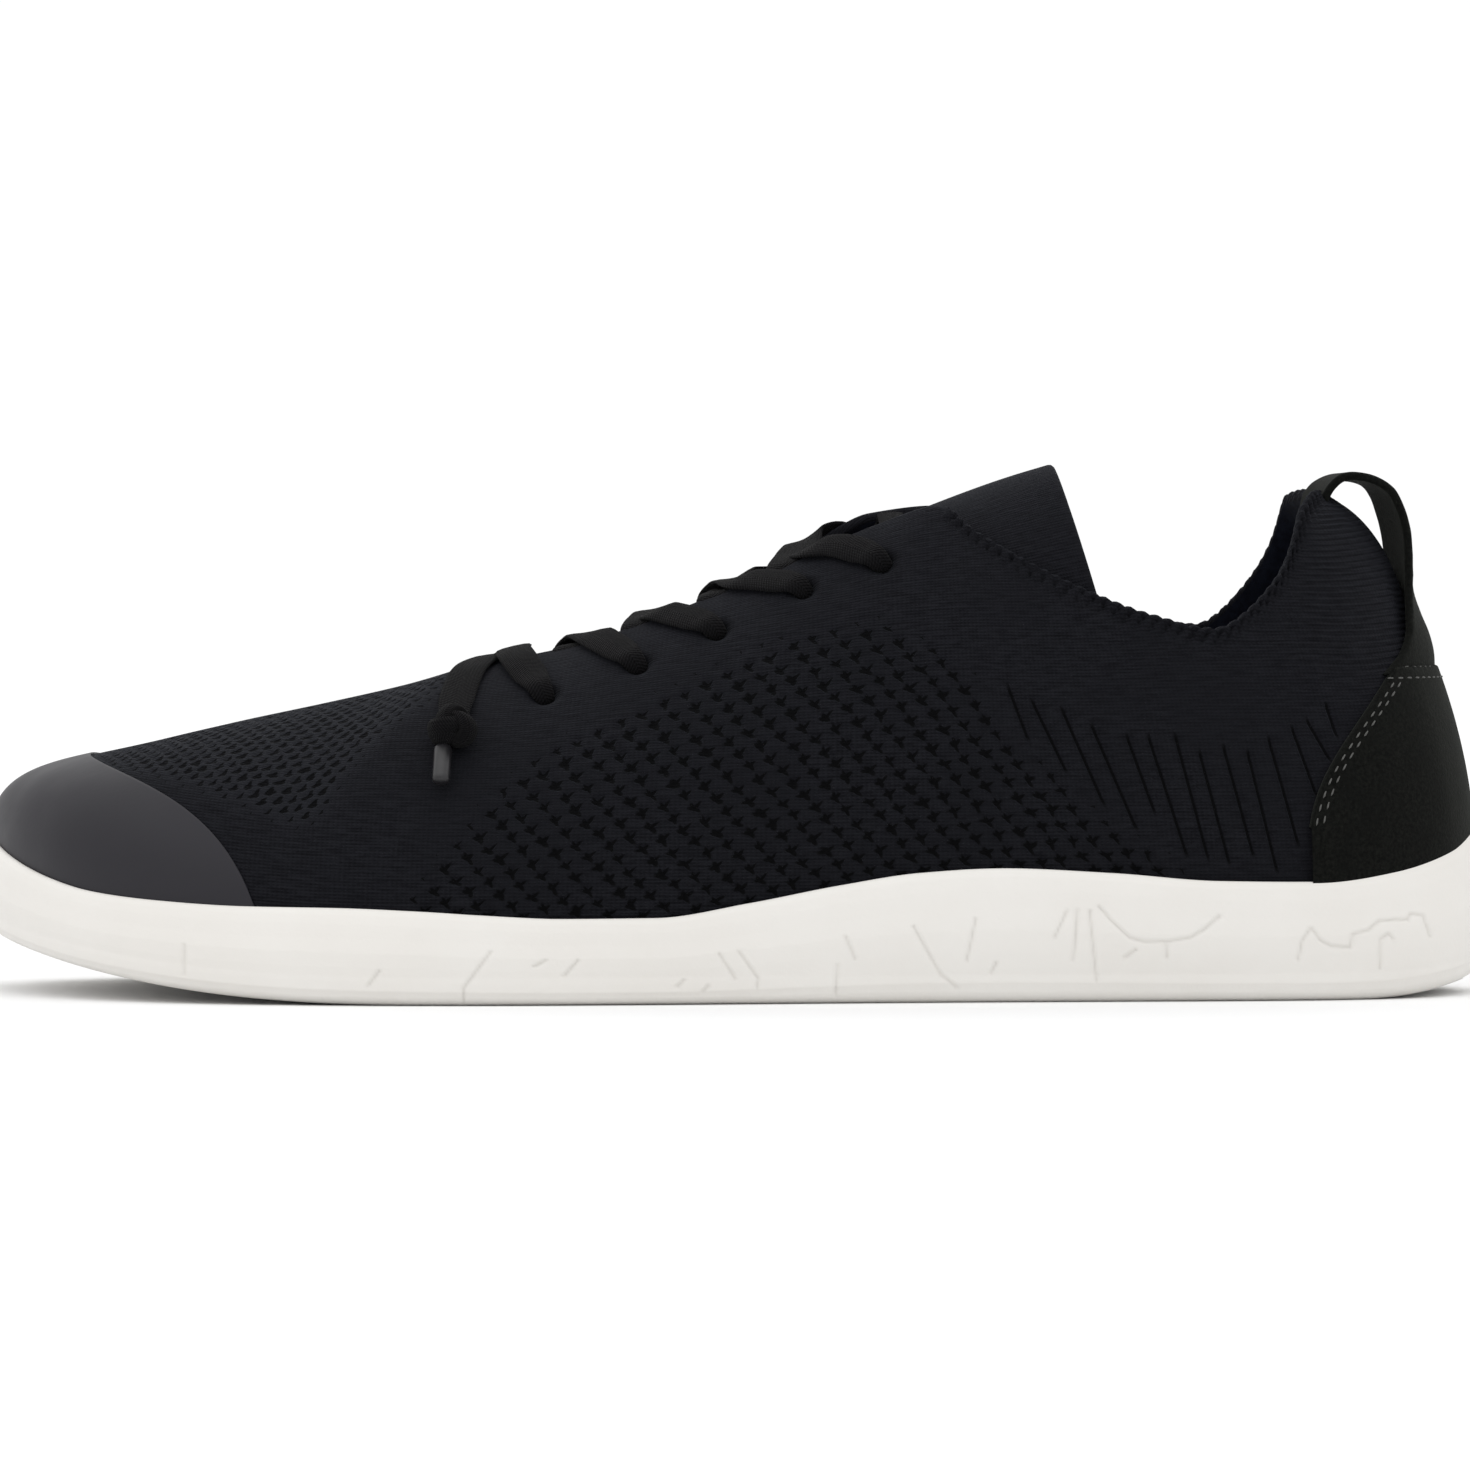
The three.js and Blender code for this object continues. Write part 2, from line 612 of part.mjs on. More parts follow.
function makePullLoop() {
  const half = strapThickness / 2;
  const top = lastPoint(0, 1);
  const inside = upperWall + fitGap + half;
  const rib = (down, off) => lastPoint(0, backFromTop(0, down), off);
  const over = (x, z) => new THREE.Vector3(top.x + x, 0, top.z + z);
  const foot = heightOnRib(0, counterHeight + 2 * seamGap);
  const stations = [
    { centre: rib(9, -inside), wide: 0 },
    { centre: rib(4, -inside), wide: 0 },
    { centre: over(-inside, 0), wide: 0 },
    { centre: over(-0.7 * inside, 0.7 * loopRise), wide: 0 },
    { centre: over(0, loopRise + fitGap), wide: 0 },
    { centre: over(1.2 * inside, loopRise), wide: 0 },
    { centre: over(2.2 * inside, 0.5 * loopRise), wide: 0 },
    ...loopRows.map(({ down, off, wide }) => ({ centre: rib(down, off + half), wide })),
    { centre: lastPoint(0, foot, fitGap + half), wide: 1 },
  ];
  const across = 6;
  const rings = stations.map(({ centre, wide }, i) => {
    const before = stations[Math.max(i - 1, 0)].centre;
    const after = stations[Math.min(i + 1, stations.length - 1)].centre;
    const run = after.clone().sub(before).normalize();
    const outward = new THREE.Vector3(-run.z, 0, run.x);
    const width = strapWidth + wide * (strapFoot - strapWidth);
    const point = (share, side) => {
      const y = (share * width) / 2;
      const bend = new THREE.Vector3(-y * y / (2 * loopRound * lastWidth), y, 0);
      return centre.clone().addScaledVector(outward, side * half).add(bend);
    };
    const shares = Array.from({ length: across + 1 }, (_, k) => (2 * k) / across - 1);
    return [
      ...shares.map((share) => point(share, 1)),
      ...shares.toReversed().map((share) => point(share, -1)),
    ];
  });
  return largestOf(sheetOf(rings, across).subtract(throatWalls()));
}

// The lace: a station has a point, the direction that its face turns to, and a width
function laceOf(stations, count) {
  const curve = new THREE.CatmullRomCurve3(stations.map(({ point }) => point), false, "centripetal");
  const at = (values, share) => {
    const place = Math.min(share * (values.length - 1), values.length - 1.001);
    const k = Math.floor(place);
    return [values[k], values[k + 1], place - k];
  };
  const rings = Array.from({ length: count + 1 }, (_, i) => {
    const share = i / count;
    const centre = curve.getPoint(share);
    const run = curve.getTangent(share);
    const [a, b, t] = at(stations, share);
    const face = a.face.clone().lerp(b.face, t);
    const across = run.clone().cross(face).normalize();
    const normal = across.clone().cross(run).normalize();
    return { centre, across, normal, width: a.width + (b.width - a.width) * t };
  });
  return ribbonOf(rings, laceThickness);
}

const laceLift = fitGap + laceThickness / 2;
const holeWidth = eyeletDiameter;

function surfaceStation(at, v, lift, width = laceWidth) {
  return { point: lastPoint(at, v, lift), face: faceNormal(at, Math.min(v, 1)), width };
}

// Height of the tongue's crown at a place along the shoe
function tongueCrown(x) {
  const share = 0.5 - x / lastLength;
  const k = Math.max(tongueRows.findIndex((row) => row.at <= share), 1);
  const [a, b] = [tongueRows[k - 1], tongueRows[k]];
  const t = (a.at - share) / (a.at - b.at);
  return instepHeight * (a.height + (b.height - a.height) * t);
}

function middleStation(from, to) {
  const point = from.clone().add(to).divideScalar(2);
  point.z = Math.max(point.z, tongueCrown(point.x) + 2 * fitGap + laceThickness / 2);
  return { point, face: new THREE.Vector3(0, 0, 1), width: laceWidth };
}

// One strip, from an eyelet over its own edge of the throat to the far edge, one pair on
const nearShare = 0.88; // where it passes its own edge, on the way to the next pair's row
const farShare = 1.22; // where it dips under the far edge
function crossingStrip(pair, side) {
  const row = (share) => mix(eyelets[pair].row, eyelets[pair - 1].row, share);
  const { at, v } = eyeletAt(pair, side);
  const climb = (t) =>
    surfaceStation(onSide(row(nearShare * t), side), mix(v, 1, t), laceLift);
  const far = surfaceStation(onSide(row(farShare), -side), 1, -upperWall / 2);
  return laceOf([
    surfaceStation(at, v, laceLift, holeWidth),
    climb(0.35),
    climb(0.7),
    climb(1),
    middleStation(climb(1).point, far.point),
    far,
  ], 8);
}

const throatWalls = () => wallForm(fitGap, -upperWall - fitGap, 0.01, 0);
const clearOfThroat = (solid) =>
  largestOf(wasm.Manifold.difference([solid, throatWalls(), tongueForm(fitGap)]));

function makeCrossing(pair) {
  return clearOfThroat(crossingStrip(pair, -1).add(crossingStrip(pair, 1)));
}

// The bar between the top eyelets, under both edges of the throat
function makeLaceBar() {
  const row = mix(eyelets.at(-1).row, vampRow, 0.07);
  const ends = [-1, 1].map((side) => surfaceStation(onSide(row, side), 1, -upperWall / 2, holeWidth));
  const bar = laceOf([ends[0], middleStation(ends[0].point, ends[1].point), ends[1]], 4);
  return clearOfThroat(bar);
}

// Knots and tips: places on the surface, as rows of the last and shares of its rib
const knotRow = 13.05;
const knotShare = 0.61;

function knotFrame(side) {
  const at = onSide(knotRow, side);
  const out = faceNormal(at, knotShare);
  const down = new THREE.Vector3(0, 0, -1).projectOnPlane(out).normalize();
  const across = down.clone().cross(out).normalize();
  const middle = lastPoint(at, knotShare, fitGap + knotSize * 0.35);
  return new THREE.Matrix4().makeBasis(across, down, out).setPosition(middle);
}

function makeKnot(side, grow = 0) {
  const lobe = (x, y, scale) => {
    const r = (knotSize / 2) * scale + grow;
    const ball = new THREE.SphereGeometry(1, 9, 6);
    ball.scale(r * 0.8, r * 0.92, knotSize * 0.34 + grow).translate(x * knotSize, y * knotSize, 0);
    return solidFromGeometry(ball.applyMatrix4(knotFrame(side)));
  };
  return lobe(-0.12, -0.02, 0.95).add(lobe(0.13, 0.03, 0.93));
}

function makeAglet(side) {
  const tip = new THREE.CylinderGeometry(agletDiameter / 2, agletDiameter / 2, agletLength, 10);
  const below = knotSize * 0.46 + fitGap + agletLength / 2;
  tip.translate(-side * knotSize * 0.18, below, agletDiameter / 2 - knotSize * 0.35);
  return solidFromGeometry(tip.applyMatrix4(knotFrame(side)));
}

// A free end: from the lowest eyelet over the throat's toe end to the knot on the other side
function makeLaceEnd(side, above) {
  const start = eyeletAt(0, -side);
  const ridgeRow = vampRow - 0.2 - 0.8 * above;
  const over = laceLift + above * (laceThickness + 3 * fitGap);
  const climb = (t, lift) =>
    surfaceStation(onSide(mix(eyelets[0].row, ridgeRow, t), -side), mix(start.v, 1, t), lift);
  const fall = (t, lift) =>
    surfaceStation(onSide(mix(ridgeRow, knotRow, t), side), mix(1, knotShare, t), lift);
  const lace = laceOf([
    surfaceStation(start.at, start.v, laceLift, holeWidth),
    climb(0.35, laceLift),
    climb(0.7, over),
    climb(1, over),
    fall(0, over),
    fall(0.35, over),
    fall(0.7, laceLift),
    fall(0.95, laceLift),
  ], 12);
  return clearOfThroat(lace.subtract(makeKnot(side, fitGap)));
}

const shoe = new THREE.Group();
shoe.name = "barefoot_shoe";
function addPiece(name, solid, color, roughness) {
  const material = new THREE.MeshStandardMaterial({ color, roughness, metalness: 0 });
  const mesh = new THREE.Mesh(geometryOf(solid), material);
  mesh.name = name;
  shoe.add(mesh);
}

const colours = {
  rubber: 0xe8e6e2, knit: 0x16181d, film: 0x3a3a3f, suede: 0x1b1c1b,
  lining: 0x10131c, lace: 0x1c1c1a, tip: 0x48484a,
};
addPiece("sole", makeSole(), colours.rubber, 0.6);
addPiece("upper", makeUpper(), colours.knit, 0.95);
addPiece("footbed", makeFootbed(), colours.lining, 0.95);
addPiece("tongue", makeTongue(), colours.knit, 0.95);
addPiece("toe_cap", makeToeCap(), colours.film, 0.45);
addPiece("heel_counter", makeHeelCounter(), colours.suede, 0.9);
addPiece("pull_loop", makePullLoop(), colours.suede, 0.85);
for (let pair = 1; pair < eyelets.length; pair++) {
  addPiece(`lace_crossing_${pair}`, makeCrossing(pair), colours.lace, 0.9);
}
addPiece("lace_bar", makeLaceBar(), colours.lace, 0.9);
for (const [name, side, above] of [["outer", -1, 0], ["inner", 1, 1]]) {
  addPiece(`lace_end_${name}`, makeLaceEnd(side, above), colours.lace, 0.9);
  addPiece(`lace_knot_${name}`, makeKnot(side), colours.lace, 0.9);
  addPiece(`aglet_${name}`, makeAglet(side), colours.tip, 0.4);
}

export default shoe;
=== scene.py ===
# A left barefoot running shoe: knitted upper, flat lace, suede heel, film toe cap, rubber cup sole.
# Metres. The toe points along -X, the outer side faces -Y, and the ground is Z = 0.
import functools
import math

import bmesh
import bpy
import numpy as np
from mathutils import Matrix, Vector


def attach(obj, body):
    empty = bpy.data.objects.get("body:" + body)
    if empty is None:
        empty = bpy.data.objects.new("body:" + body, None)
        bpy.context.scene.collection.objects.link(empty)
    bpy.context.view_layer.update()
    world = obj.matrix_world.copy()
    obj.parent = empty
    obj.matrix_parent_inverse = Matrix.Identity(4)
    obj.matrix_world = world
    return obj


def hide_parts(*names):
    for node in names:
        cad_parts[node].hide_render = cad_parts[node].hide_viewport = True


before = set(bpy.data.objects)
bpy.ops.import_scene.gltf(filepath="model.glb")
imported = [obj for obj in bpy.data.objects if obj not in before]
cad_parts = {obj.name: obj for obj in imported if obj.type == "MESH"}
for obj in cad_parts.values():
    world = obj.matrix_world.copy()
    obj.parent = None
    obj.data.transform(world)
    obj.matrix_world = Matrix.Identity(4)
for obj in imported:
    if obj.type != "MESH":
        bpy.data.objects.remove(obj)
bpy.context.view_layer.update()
print("frame loaded")


def newObject(name, data):
    thing = bpy.data.objects.new(name, data)
    bpy.context.scene.collection.objects.link(thing)
    return thing


# Camera: level with the shoe's middle, facing its outer side
view = {
    "place": (0.0013, -1.4, 0.075),
    "tiltDown": 1.07,  # degrees
    "lens": 179.65,
    "sensor": 36.0,
}
cameraData = bpy.data.cameras.new("camera")
cameraData.lens = view["lens"]
cameraData.sensor_width = view["sensor"]
camera = newObject("camera", cameraData)
camera.location = view["place"]
camera.rotation_euler = (math.radians(90 - view["tiltDown"]), 0, 0)
bpy.context.scene.camera = camera
bpy.context.scene.view_settings.view_transform = "Standard"

# The last: one row for each rib, from the back of the heel to the tip of the toe
shoe = {
    "length": 0.288,
    "ballWidth": 0.110,
    "instepHeight": 0.0924,
    "heelHeight": 0.096,
    "wall": 0.0022,
    "gap": 0.0003,
    "soleWall": 0.0046,
    "soleFloor": 0.005,
    "archWallHeight": 0.0247,
    "toeSpring": 0.0115,
    "springStart": 0.68,
    "heelLift": 0.0032,
    "heelRoll": 0.09,
}
lastLength = shoe["length"] - 2 * shoe["soleWall"]
lastWidth = shoe["ballWidth"] - 2 * shoe["soleWall"]
# foot, top: shares of the last's length; lateral, medial, opening, ridge, bulge: shares of its width
# byHeel, byInstep, higher: shares of the heel and instep heights; rise, lean, drop: handle lengths
# outerWall, innerWall: top of the sole's side wall, as shares of its height at the arch
ribColumns = (
    "foot lateral medial top opening ridge byHeel byInstep higher "
    "bulge rise lean drop outerWall innerWall"
).split()
ribRows = [
    (0, 0, 0, 0.09, 0, 0, 1.0, 0, 0, 0.074, 0.42, 0.5, 0.165, 1.275, 1.275),
    (0.018, 0.165, 0.165, 0.097, 0.08, 0, 0.995, 0, 0.004, 0.072, 0.4, 0.5, 0.18, 1.12, 1.12),
    (0.055, 0.262, 0.262, 0.109, 0.174, 0, 0.953, 0, 0.03, 0.07, 0.38, 0.5, 0.22, 0.97, 0.98),
    (0.11, 0.318, 0.312, 0.125, 0.243, 0, 0.833, 0, 0.028, 0.07, 0.36, 0.54, 0.25, 0.89, 0.91),
    (0.175, 0.345, 0.33, 0.1737, 0.3, 0, 0.355, 0.37, 0.006, 0.068, 0.34, 0.58, 0.28, 0.9, 0.93),
    (0.245, 0.362, 0.325, 0.217, 0.309, 0, 0, 0.767, 0.002, 0.064, 0.32, 0.6, 0.28, 0.96, 1.0),
    (0.32, 0.382, 0.308, 0.278, 0.288, 0, 0, 0.842, 0.002, 0.06, 0.32, 0.6, 0.24, 1.0, 1.07),
    (0.375, 0.4, 0.302, 0.333, 0.223, 0, 0, 0.937, 0.003, 0.055, 0.33, 0.6, 0.18, 0.968, 1.07),
    (0.43, 0.42, 0.308, 0.361, 0.159, 0, 0, 0.997, 0.004, 0.052, 0.35, 0.6, 0.18, 0.875, 0.99),
    (0.49, 0.444, 0.335, 0.405, 0.132, 0, 0, 0.955, 0.03, 0.05, 0.36, 0.61, 0.2, 0.745, 0.84),
    (0.55, 0.468, 0.38, 0.468, 0.122, 0, 0, 0.868, 0.008, 0.048, 0.38, 0.62, 0.2, 0.64, 0.7),
    (0.61, 0.488, 0.428, 0.538, 0.114, 0, 0, 0.784, 0, 0.045, 0.4, 0.62, 0.2, 0.636, 0.645),
    (0.665, 0.499, 0.466, 0.6, 0.1, 0, 0, 0.718, 0, 0.043, 0.42, 0.62, 0.18, 0.664, 0.66),
    (0.705, 0.5, 0.485, 0.645, 0.065, 0, 0, 0.686, 0.003, 0.042, 0.44, 0.62, 0.1, 0.692, 0.68),
    (0.76, 0.488, 0.5, 0.669, 0, 0, 0, 0.676, 0, 0.042, 0.48, 0.62, 0, 0.717, 0.71),
    (0.82, 0.455, 0.498, 0.722, 0, 0.01, 0, 0.632, 0, 0.046, 0.54, 0.63, 0, 0.725, 0.73),
    (0.875, 0.395, 0.478, 0.776, 0, 0.022, 0, 0.595, 0, 0.054, 0.62, 0.66, 0, 0.757, 0.76),
    (0.922, 0.305, 0.438, 0.826, 0, 0.038, 0, 0.563, 0, 0.062, 0.7, 0.7, 0, 0.815, 0.83),
    (0.958, 0.195, 0.378, 0.864, 0, 0.055, 0, 0.537, 0, 0.07, 0.77, 0.74, 0, 0.935, 0.95),
    (0.983, 0.065, 0.3, 0.889, 0, 0.07, 0, 0.519, 0, 0.076, 0.83, 0.78, 0, 1.08, 1.1),
    (1.0, -0.12, 0.12, 0.9035, 0, 0.08, 0, 0.509, 0, 0.08, 0.86, 0.8, 0, 1.22, 1.22),
]
lastRow = len(ribRows) - 1
vampRow = 14  # the throat ends here, and both sides meet on the ridge
ridgeEnd = 0.2  # rows before the tip where the ridge still has a direction of its own
loopOrder = [(i, -1) for i in range(lastRow + 1)] + [(i, 1) for i in range(lastRow - 1, 0, -1)]
loopLength = len(loopOrder)


def loopCurve(rule):
    values = np.array([rule(dict(zip(ribColumns, ribRows[i])), side) for i, side in loopOrder])
    before = values - np.roll(values, 1)
    after = np.roll(values, -1) - values
    product = before * after
    total = np.where(product > 0, before + after, 1)
    return values, np.where(product > 0, 2 * product / total, 0)


curveRules = {
    "footX": lambda r, side: lastLength * (0.5 - r["foot"]),
    "footY": lambda r, side: side * lastWidth * r["lateral" if side < 0 else "medial"],
    "topX": lambda r, side: lastLength * (0.5 - r["top"]),
    "opening": lambda r, side: side * lastWidth * r["opening"],
    "ridge": lambda r, side: lastWidth * r["ridge"],
    "topZ": lambda r, side: shoe["heelHeight"] * r["byHeel"]
    + shoe["instepHeight"] * (r["byInstep"] + (r["higher"] if side > 0 else 0)),
    "bulge": lambda r, side: lastWidth * r["bulge"],
    "rise": lambda r, side: r["rise"],
    "lean": lambda r, side: r["lean"],
    "drop": lambda r, side: r["drop"],
    "wallTop": lambda r, side: shoe["archWallHeight"] * r["outerWall" if side < 0 else "innerWall"],
}
loopCurves = {name: loopCurve(rule) for name, rule in curveRules.items()}


def along(name, at):
    values, slopes = loopCurves[name]
    at = np.asarray(at, float)
    i = np.floor(at).astype(int)
    t = at - i
    a, b = i % loopLength, (i + 1) % loopLength
    start = values[a] * (1 + 2 * t) * (1 - t) ** 2 + slopes[a] * t * (1 - t) ** 2
    return start + values[b] * t * t * (3 - 2 * t) + slopes[b] * t * t * (t - 1)


def groundAt(x):
    share = 0.5 - x / shoe["length"]
    toe = np.clip((share - shoe["springStart"]) / (1 - shoe["springStart"]), 0, 1.05)
    heel = np.clip((shoe["heelRoll"] - share) / shoe["heelRoll"], 0, 1.1)
    return shoe["toeSpring"] * toe**2.5 + shoe["heelLift"] * heel**2


def unit(vectors):
    return vectors / np.maximum(np.linalg.norm(vectors, axis=-1, keepdims=True), 1e-12)


def stacked(x, y, z):
    return np.stack(np.broadcast_arrays(x, y, z), axis=-1).astype(float)


def mix(a, b, t):
    return a + (b - a) * t


def smooth(t):
    return t * t * (3 - 2 * t)


# How far along a line each of its points lies
def runLengths(points):
    return np.concatenate([[0], np.cumsum(np.linalg.norm(np.diff(points, axis=0), axis=1))])


# A row of the table for each place, between the places of its own rows
def rowsAt(at, places, table):
    return np.stack([np.interp(at, places, column) for column in np.asarray(table, float).T], axis=-1)


def outwardAt(at):
    step = 0.02
    dx = along("footX", at + step) - along("footX", at - step)
    dy = along("footY", at + step) - along("footY", at - step)
    return unit(stacked(-dy, dx, 0))


def onVamp(at):
    return (at >= vampRow) & (at <= loopLength - vampRow)


def ribHandles(at):
    at = np.asarray(at, float)
    footX = along("footX", at)
    foot = stacked(footX, along("footY", at), groundAt(footX) + shoe["soleFloor"] + shoe["gap"])
    top = stacked(along("topX", at), along("ridge", at) + along("opening", at), along("topZ", at))
    height = top[..., 2] - foot[..., 2]
    low = foot + outwardAt(at) * along("bulge", at)[..., None]
    low[..., 2] = foot[..., 2] + along("rise", at) * height
    lean = along("lean", at)
    reach = foot - top
    reach[..., 2] = 0
    high = top + reach * lean[..., None]
    side = np.minimum(at % loopLength, loopLength - at % loopLength)
    near = np.maximum(side, vampRow - 1)
    run = along("topX", near) - along("topX", near - 0.5)
    climb = along("topZ", near) - along("topZ", near - 0.5)
    share = np.clip((side - vampRow + 1) / 1.5, 0, 1)
    high[..., 2] += smooth(share) * climb / run * lean * reach[..., 0]
    high[..., 2] -= along("drop", at) * height
    return foot, low, high, top


def ribPoint(handles, v):
    a, b, c, d = handles
    v = np.asarray(v, float)[..., None]
    t = np.clip(v, 0, 1)
    w = 1 - t
    point = a * w**3 + b * 3 * t * w * w + c * 3 * t * t * w + d * t**3
    below = np.minimum(v, 0) * (d[..., 2:] - a[..., 2:])
    beyond = np.maximum(v - 1, 0) * d[..., 2:]
    return point + unit(d - c) * beyond + below * np.array((0, 0, 1.0))


def faceNormal(at, v):
    at, v = np.asarray(at, float), np.asarray(v, float)
    stepAt, stepV = 0.05, 0.01
    around = ribPoint(ribHandles(at + stepAt), v) - ribPoint(ribHandles(at - stepAt), v)
    handles = ribHandles(at)
    up = ribPoint(handles, np.minimum(v + stepV, 1)) - ribPoint(handles, np.maximum(v - stepV, 0))
    return unit(np.cross(up, around))


# A point of the upper's outer face, moved out by lift
def lastPoint(place, v, lift=0.0):
    place, v, lift = np.broadcast_arrays(*(np.asarray(value, float) for value in (place, v, lift)))
    onRidge = (v >= 1) & onVamp(place)
    at = np.where(onRidge, np.minimum(place, loopLength - place), place)
    beside = np.where(onRidge, np.minimum(at, lastRow - ridgeEnd), at)
    inside = np.clip(v, 0, 1)
    normal = faceNormal(beside, inside)
    normal = np.where(onRidge[..., None], unit(normal + faceNormal(loopLength - beside, inside)), normal)
    level = unit(normal * np.array((1.0, 1.0, 0)))
    normal = np.where((v <= 0)[..., None], level, normal)
    return ribPoint(ribHandles(at), v) + normal * lift[..., None]


ribSamples = np.linspace(0, 1, 241)


@functools.lru_cache(maxsize=None)
def sampledRib(at):
    return ribPoint(ribHandles(np.full(ribSamples.shape, float(at))), ribSamples)


def heightOnRib(at, z):
    return float(np.interp(z, sampledRib(at)[:, 2], ribSamples))


def backFromTop(at, length):
    return float(np.interp(length, runLengths(sampledRib(at)[::-1]), ribSamples[::-1]))


def onSide(row, side):
    return row if side < 0 else loopLength - row


def smoothObject(bm, mesh):
    for face in bm.faces:
        face.smooth = True
    bm.to_mesh(mesh)
    bm.free()
    return newObject(mesh.name, mesh)


# Meshes: a grid from bmesh whose corners are moved into place
def gridPiece(
    name, points, uv=None, marks=None, drop=None, flip=False, weld=1e-6, lattice=None, second=None
):
    rows, columns = points.shape[:2]
    bm = bmesh.new()
    bmesh.ops.create_grid(bm, x_segments=columns - 1, y_segments=rows - 1, size=0.5)
    mesh = bpy.data.meshes.new(name)
    bm.to_mesh(mesh)
    bm.free()
    if len(mesh.vertices) != rows * columns:
        raise ValueError(f"{name}: the grid has {len(mesh.vertices)} corners")
    mesh.vertices.foreach_set("co", points.reshape(-1))
    corners = np.empty(len(mesh.loops), int)
    mesh.loops.foreach_get("vertex_index", corners)
    for mapName, values in (("surface", uv), ("lattice", lattice)):
        if values is not None:
            layer = mesh.uv_layers.new(name=mapName)
            layer.data.foreach_set("uv", values.reshape(-1, 2)[corners].reshape(-1))
    for mark, values in (marks or {}).items():
        attribute = mesh.attributes.new(mark, "FLOAT", "POINT")
        attribute.data.foreach_set("value", np.ascontiguousarray(values, dtype=float).reshape(-1))
    bm = bmesh.new()
    bm.from_mesh(mesh)
    bm.faces.ensure_lookup_table()
    if second is not None:
        for i in np.flatnonzero(second.reshape(-1)):
            bm.faces[int(i)].material_index = 1
    if drop is not None:
        gone = [bm.faces[int(i)] for i in np.flatnonzero(drop.reshape(-1))]
        bmesh.ops.delete(bm, geom=gone, context="FACES")
    if weld:
        bmesh.ops.remove_doubles(bm, verts=bm.verts, dist=weld)
    if flip:
        bmesh.ops.reverse_faces(bm, faces=bm.faces)
    return smoothObject(bm, mesh)


def finishPiece(piece, material, slot, *nodes, other=None):
    piece.data.materials.append(material)
    if other is not None:
        piece.data.materials.append(other)
    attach(piece, "root")
    if nodes:
        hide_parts(*nodes)
    return piece


# Points along a smooth curve through stations, with values carried along
def smoothRoute(points, count, *carried):
    points = np.asarray(points, float)
    gone = np.concatenate([[0], np.cumsum(np.sqrt(np.linalg.norm(np.diff(points, axis=0), axis=1)))])
    first = 2 * points[0] - points[1]
    last = 2 * points[-1] - points[-2]
    padded = np.vstack([first, points, last])
    knots = np.concatenate([[-gone[1]], gone, [2 * gone[-1] - gone[-2]]])
    perStation = 24
    dense = np.linspace(0, gone[-1], perStation * len(points))
    k = np.clip(np.searchsorted(gone, dense, side="right") - 1, 0, len(points) - 2)
    p = [padded[k + n] for n in range(4)]
    t = [knots[k + n][:, None] for n in range(4)]
    at = dense[:, None]

    def blend(a, b, i, j):
        return (t[j] - at) / (t[j] - t[i]) * a + (at - t[i]) / (t[j] - t[i]) * b

    a = [blend(p[n], p[n + 1], n, n + 1) for n in range(3)]
    b = [blend(a[n], a[n + 1], n, n + 2) for n in range(2)]
    curve = blend(b[0], b[1], 1, 2)
    length = runLengths(curve)
    places = np.linspace(0, length[-1], count)
    knotPlaces = np.interp(gone, dense, length)
    return rowsAt(places, length, curve), places, [rowsAt(places, knotPlaces, c) for c in carried]


# A band with a rounded flat section along a route
def bandPoints(line, across, widths, thickness):
    run = unit(np.gradient(line, axis=0))
    across = unit(across - run * np.sum(across * run, axis=1, keepdims=True))
    up = np.cross(run, across)
    turn = np.linspace(0, 2 * math.pi, 13)
    roundness = 0.75
    flat, tall = (np.sign(wave) * np.abs(wave) ** roundness for wave in (np.cos(turn), np.sin(turn)))
    sideways = flat[None, :, None] * across[:, None] * widths[:, None, None] / 2
    upward = tall[None, :, None] * thickness / 2 * up[:, None]
    return line[:, None] + sideways + upward, flat


# Finishes: a Wire is a node's output, and a sign between two wires makes a Math node
class Wire:
    def __init__(self, socket):
        self.socket = socket
        self.tree = socket.id_data

    def math(self, operation, *values):
        node = self.tree.nodes.new("ShaderNodeMath")
        node.operation = operation
        for socket, value in zip(node.inputs, (self, *values)):
            feed(socket, value)
        return Wire(node.outputs[0])

    def __add__(self, other):
        return self.math("ADD", other)

    def __sub__(self, other):
        return self.math("SUBTRACT", other)

    def __mul__(self, other):
        return self.math("MULTIPLY", other)

    def __truediv__(self, other):
        return self.math("DIVIDE", other)


def feed(socket, value):
    if isinstance(value, Wire):
        value.tree.links.new(value.socket, socket)
    else:
        socket.default_value = (*value, 1.0) if isinstance(value, tuple) else value


def newFinish(name, roughness, specular, sheen=0.0, sheenRoughness=0.5, tint=(1.0, 1.0, 1.0)):
    material = bpy.data.materials.new(name)
    material.use_nodes = True
    shader = material.node_tree.nodes["Principled BSDF"]
    for socket, value in (
        ("Roughness", roughness), ("Specular IOR Level", specular), ("Sheen Weight", sheen),
        ("Sheen Roughness", sheenRoughness), ("Sheen Tint", tint),
    ):
        feed(shader.inputs[socket], value)
    return material, material.node_tree


# Colour, relief and roughness into a finish
def paint(material, tone, height=None, distance=0.0, strength=1.0, roughness=None):
    inputs = material.node_tree.nodes["Principled BSDF"].inputs
    feed(inputs["Base Color"], tone)
    if roughness is not None:
        feed(inputs["Roughness"], roughness)
    if height is not None:
        node = height.tree.nodes.new("ShaderNodeBump")
        for socket, value in (("Strength", strength), ("Distance", distance), ("Height", height)):
            feed(node.inputs[socket], value)
        feed(inputs["Normal"], Wire(node.outputs[0]))
    return material


def waves(value, pitch):
    return (value * (2 * math.pi / pitch)).math("SINE")


def ranged(value, low, high, toLow=0.0, toHigh=1.0):
    node = value.tree.nodes.new("ShaderNodeMapRange")
    node.interpolation_type = "SMOOTHSTEP"
    for socket, setting in zip(node.inputs, (value, low, high, toLow, toHigh)):
        feed(socket, setting)
    return Wire(node.outputs[0])


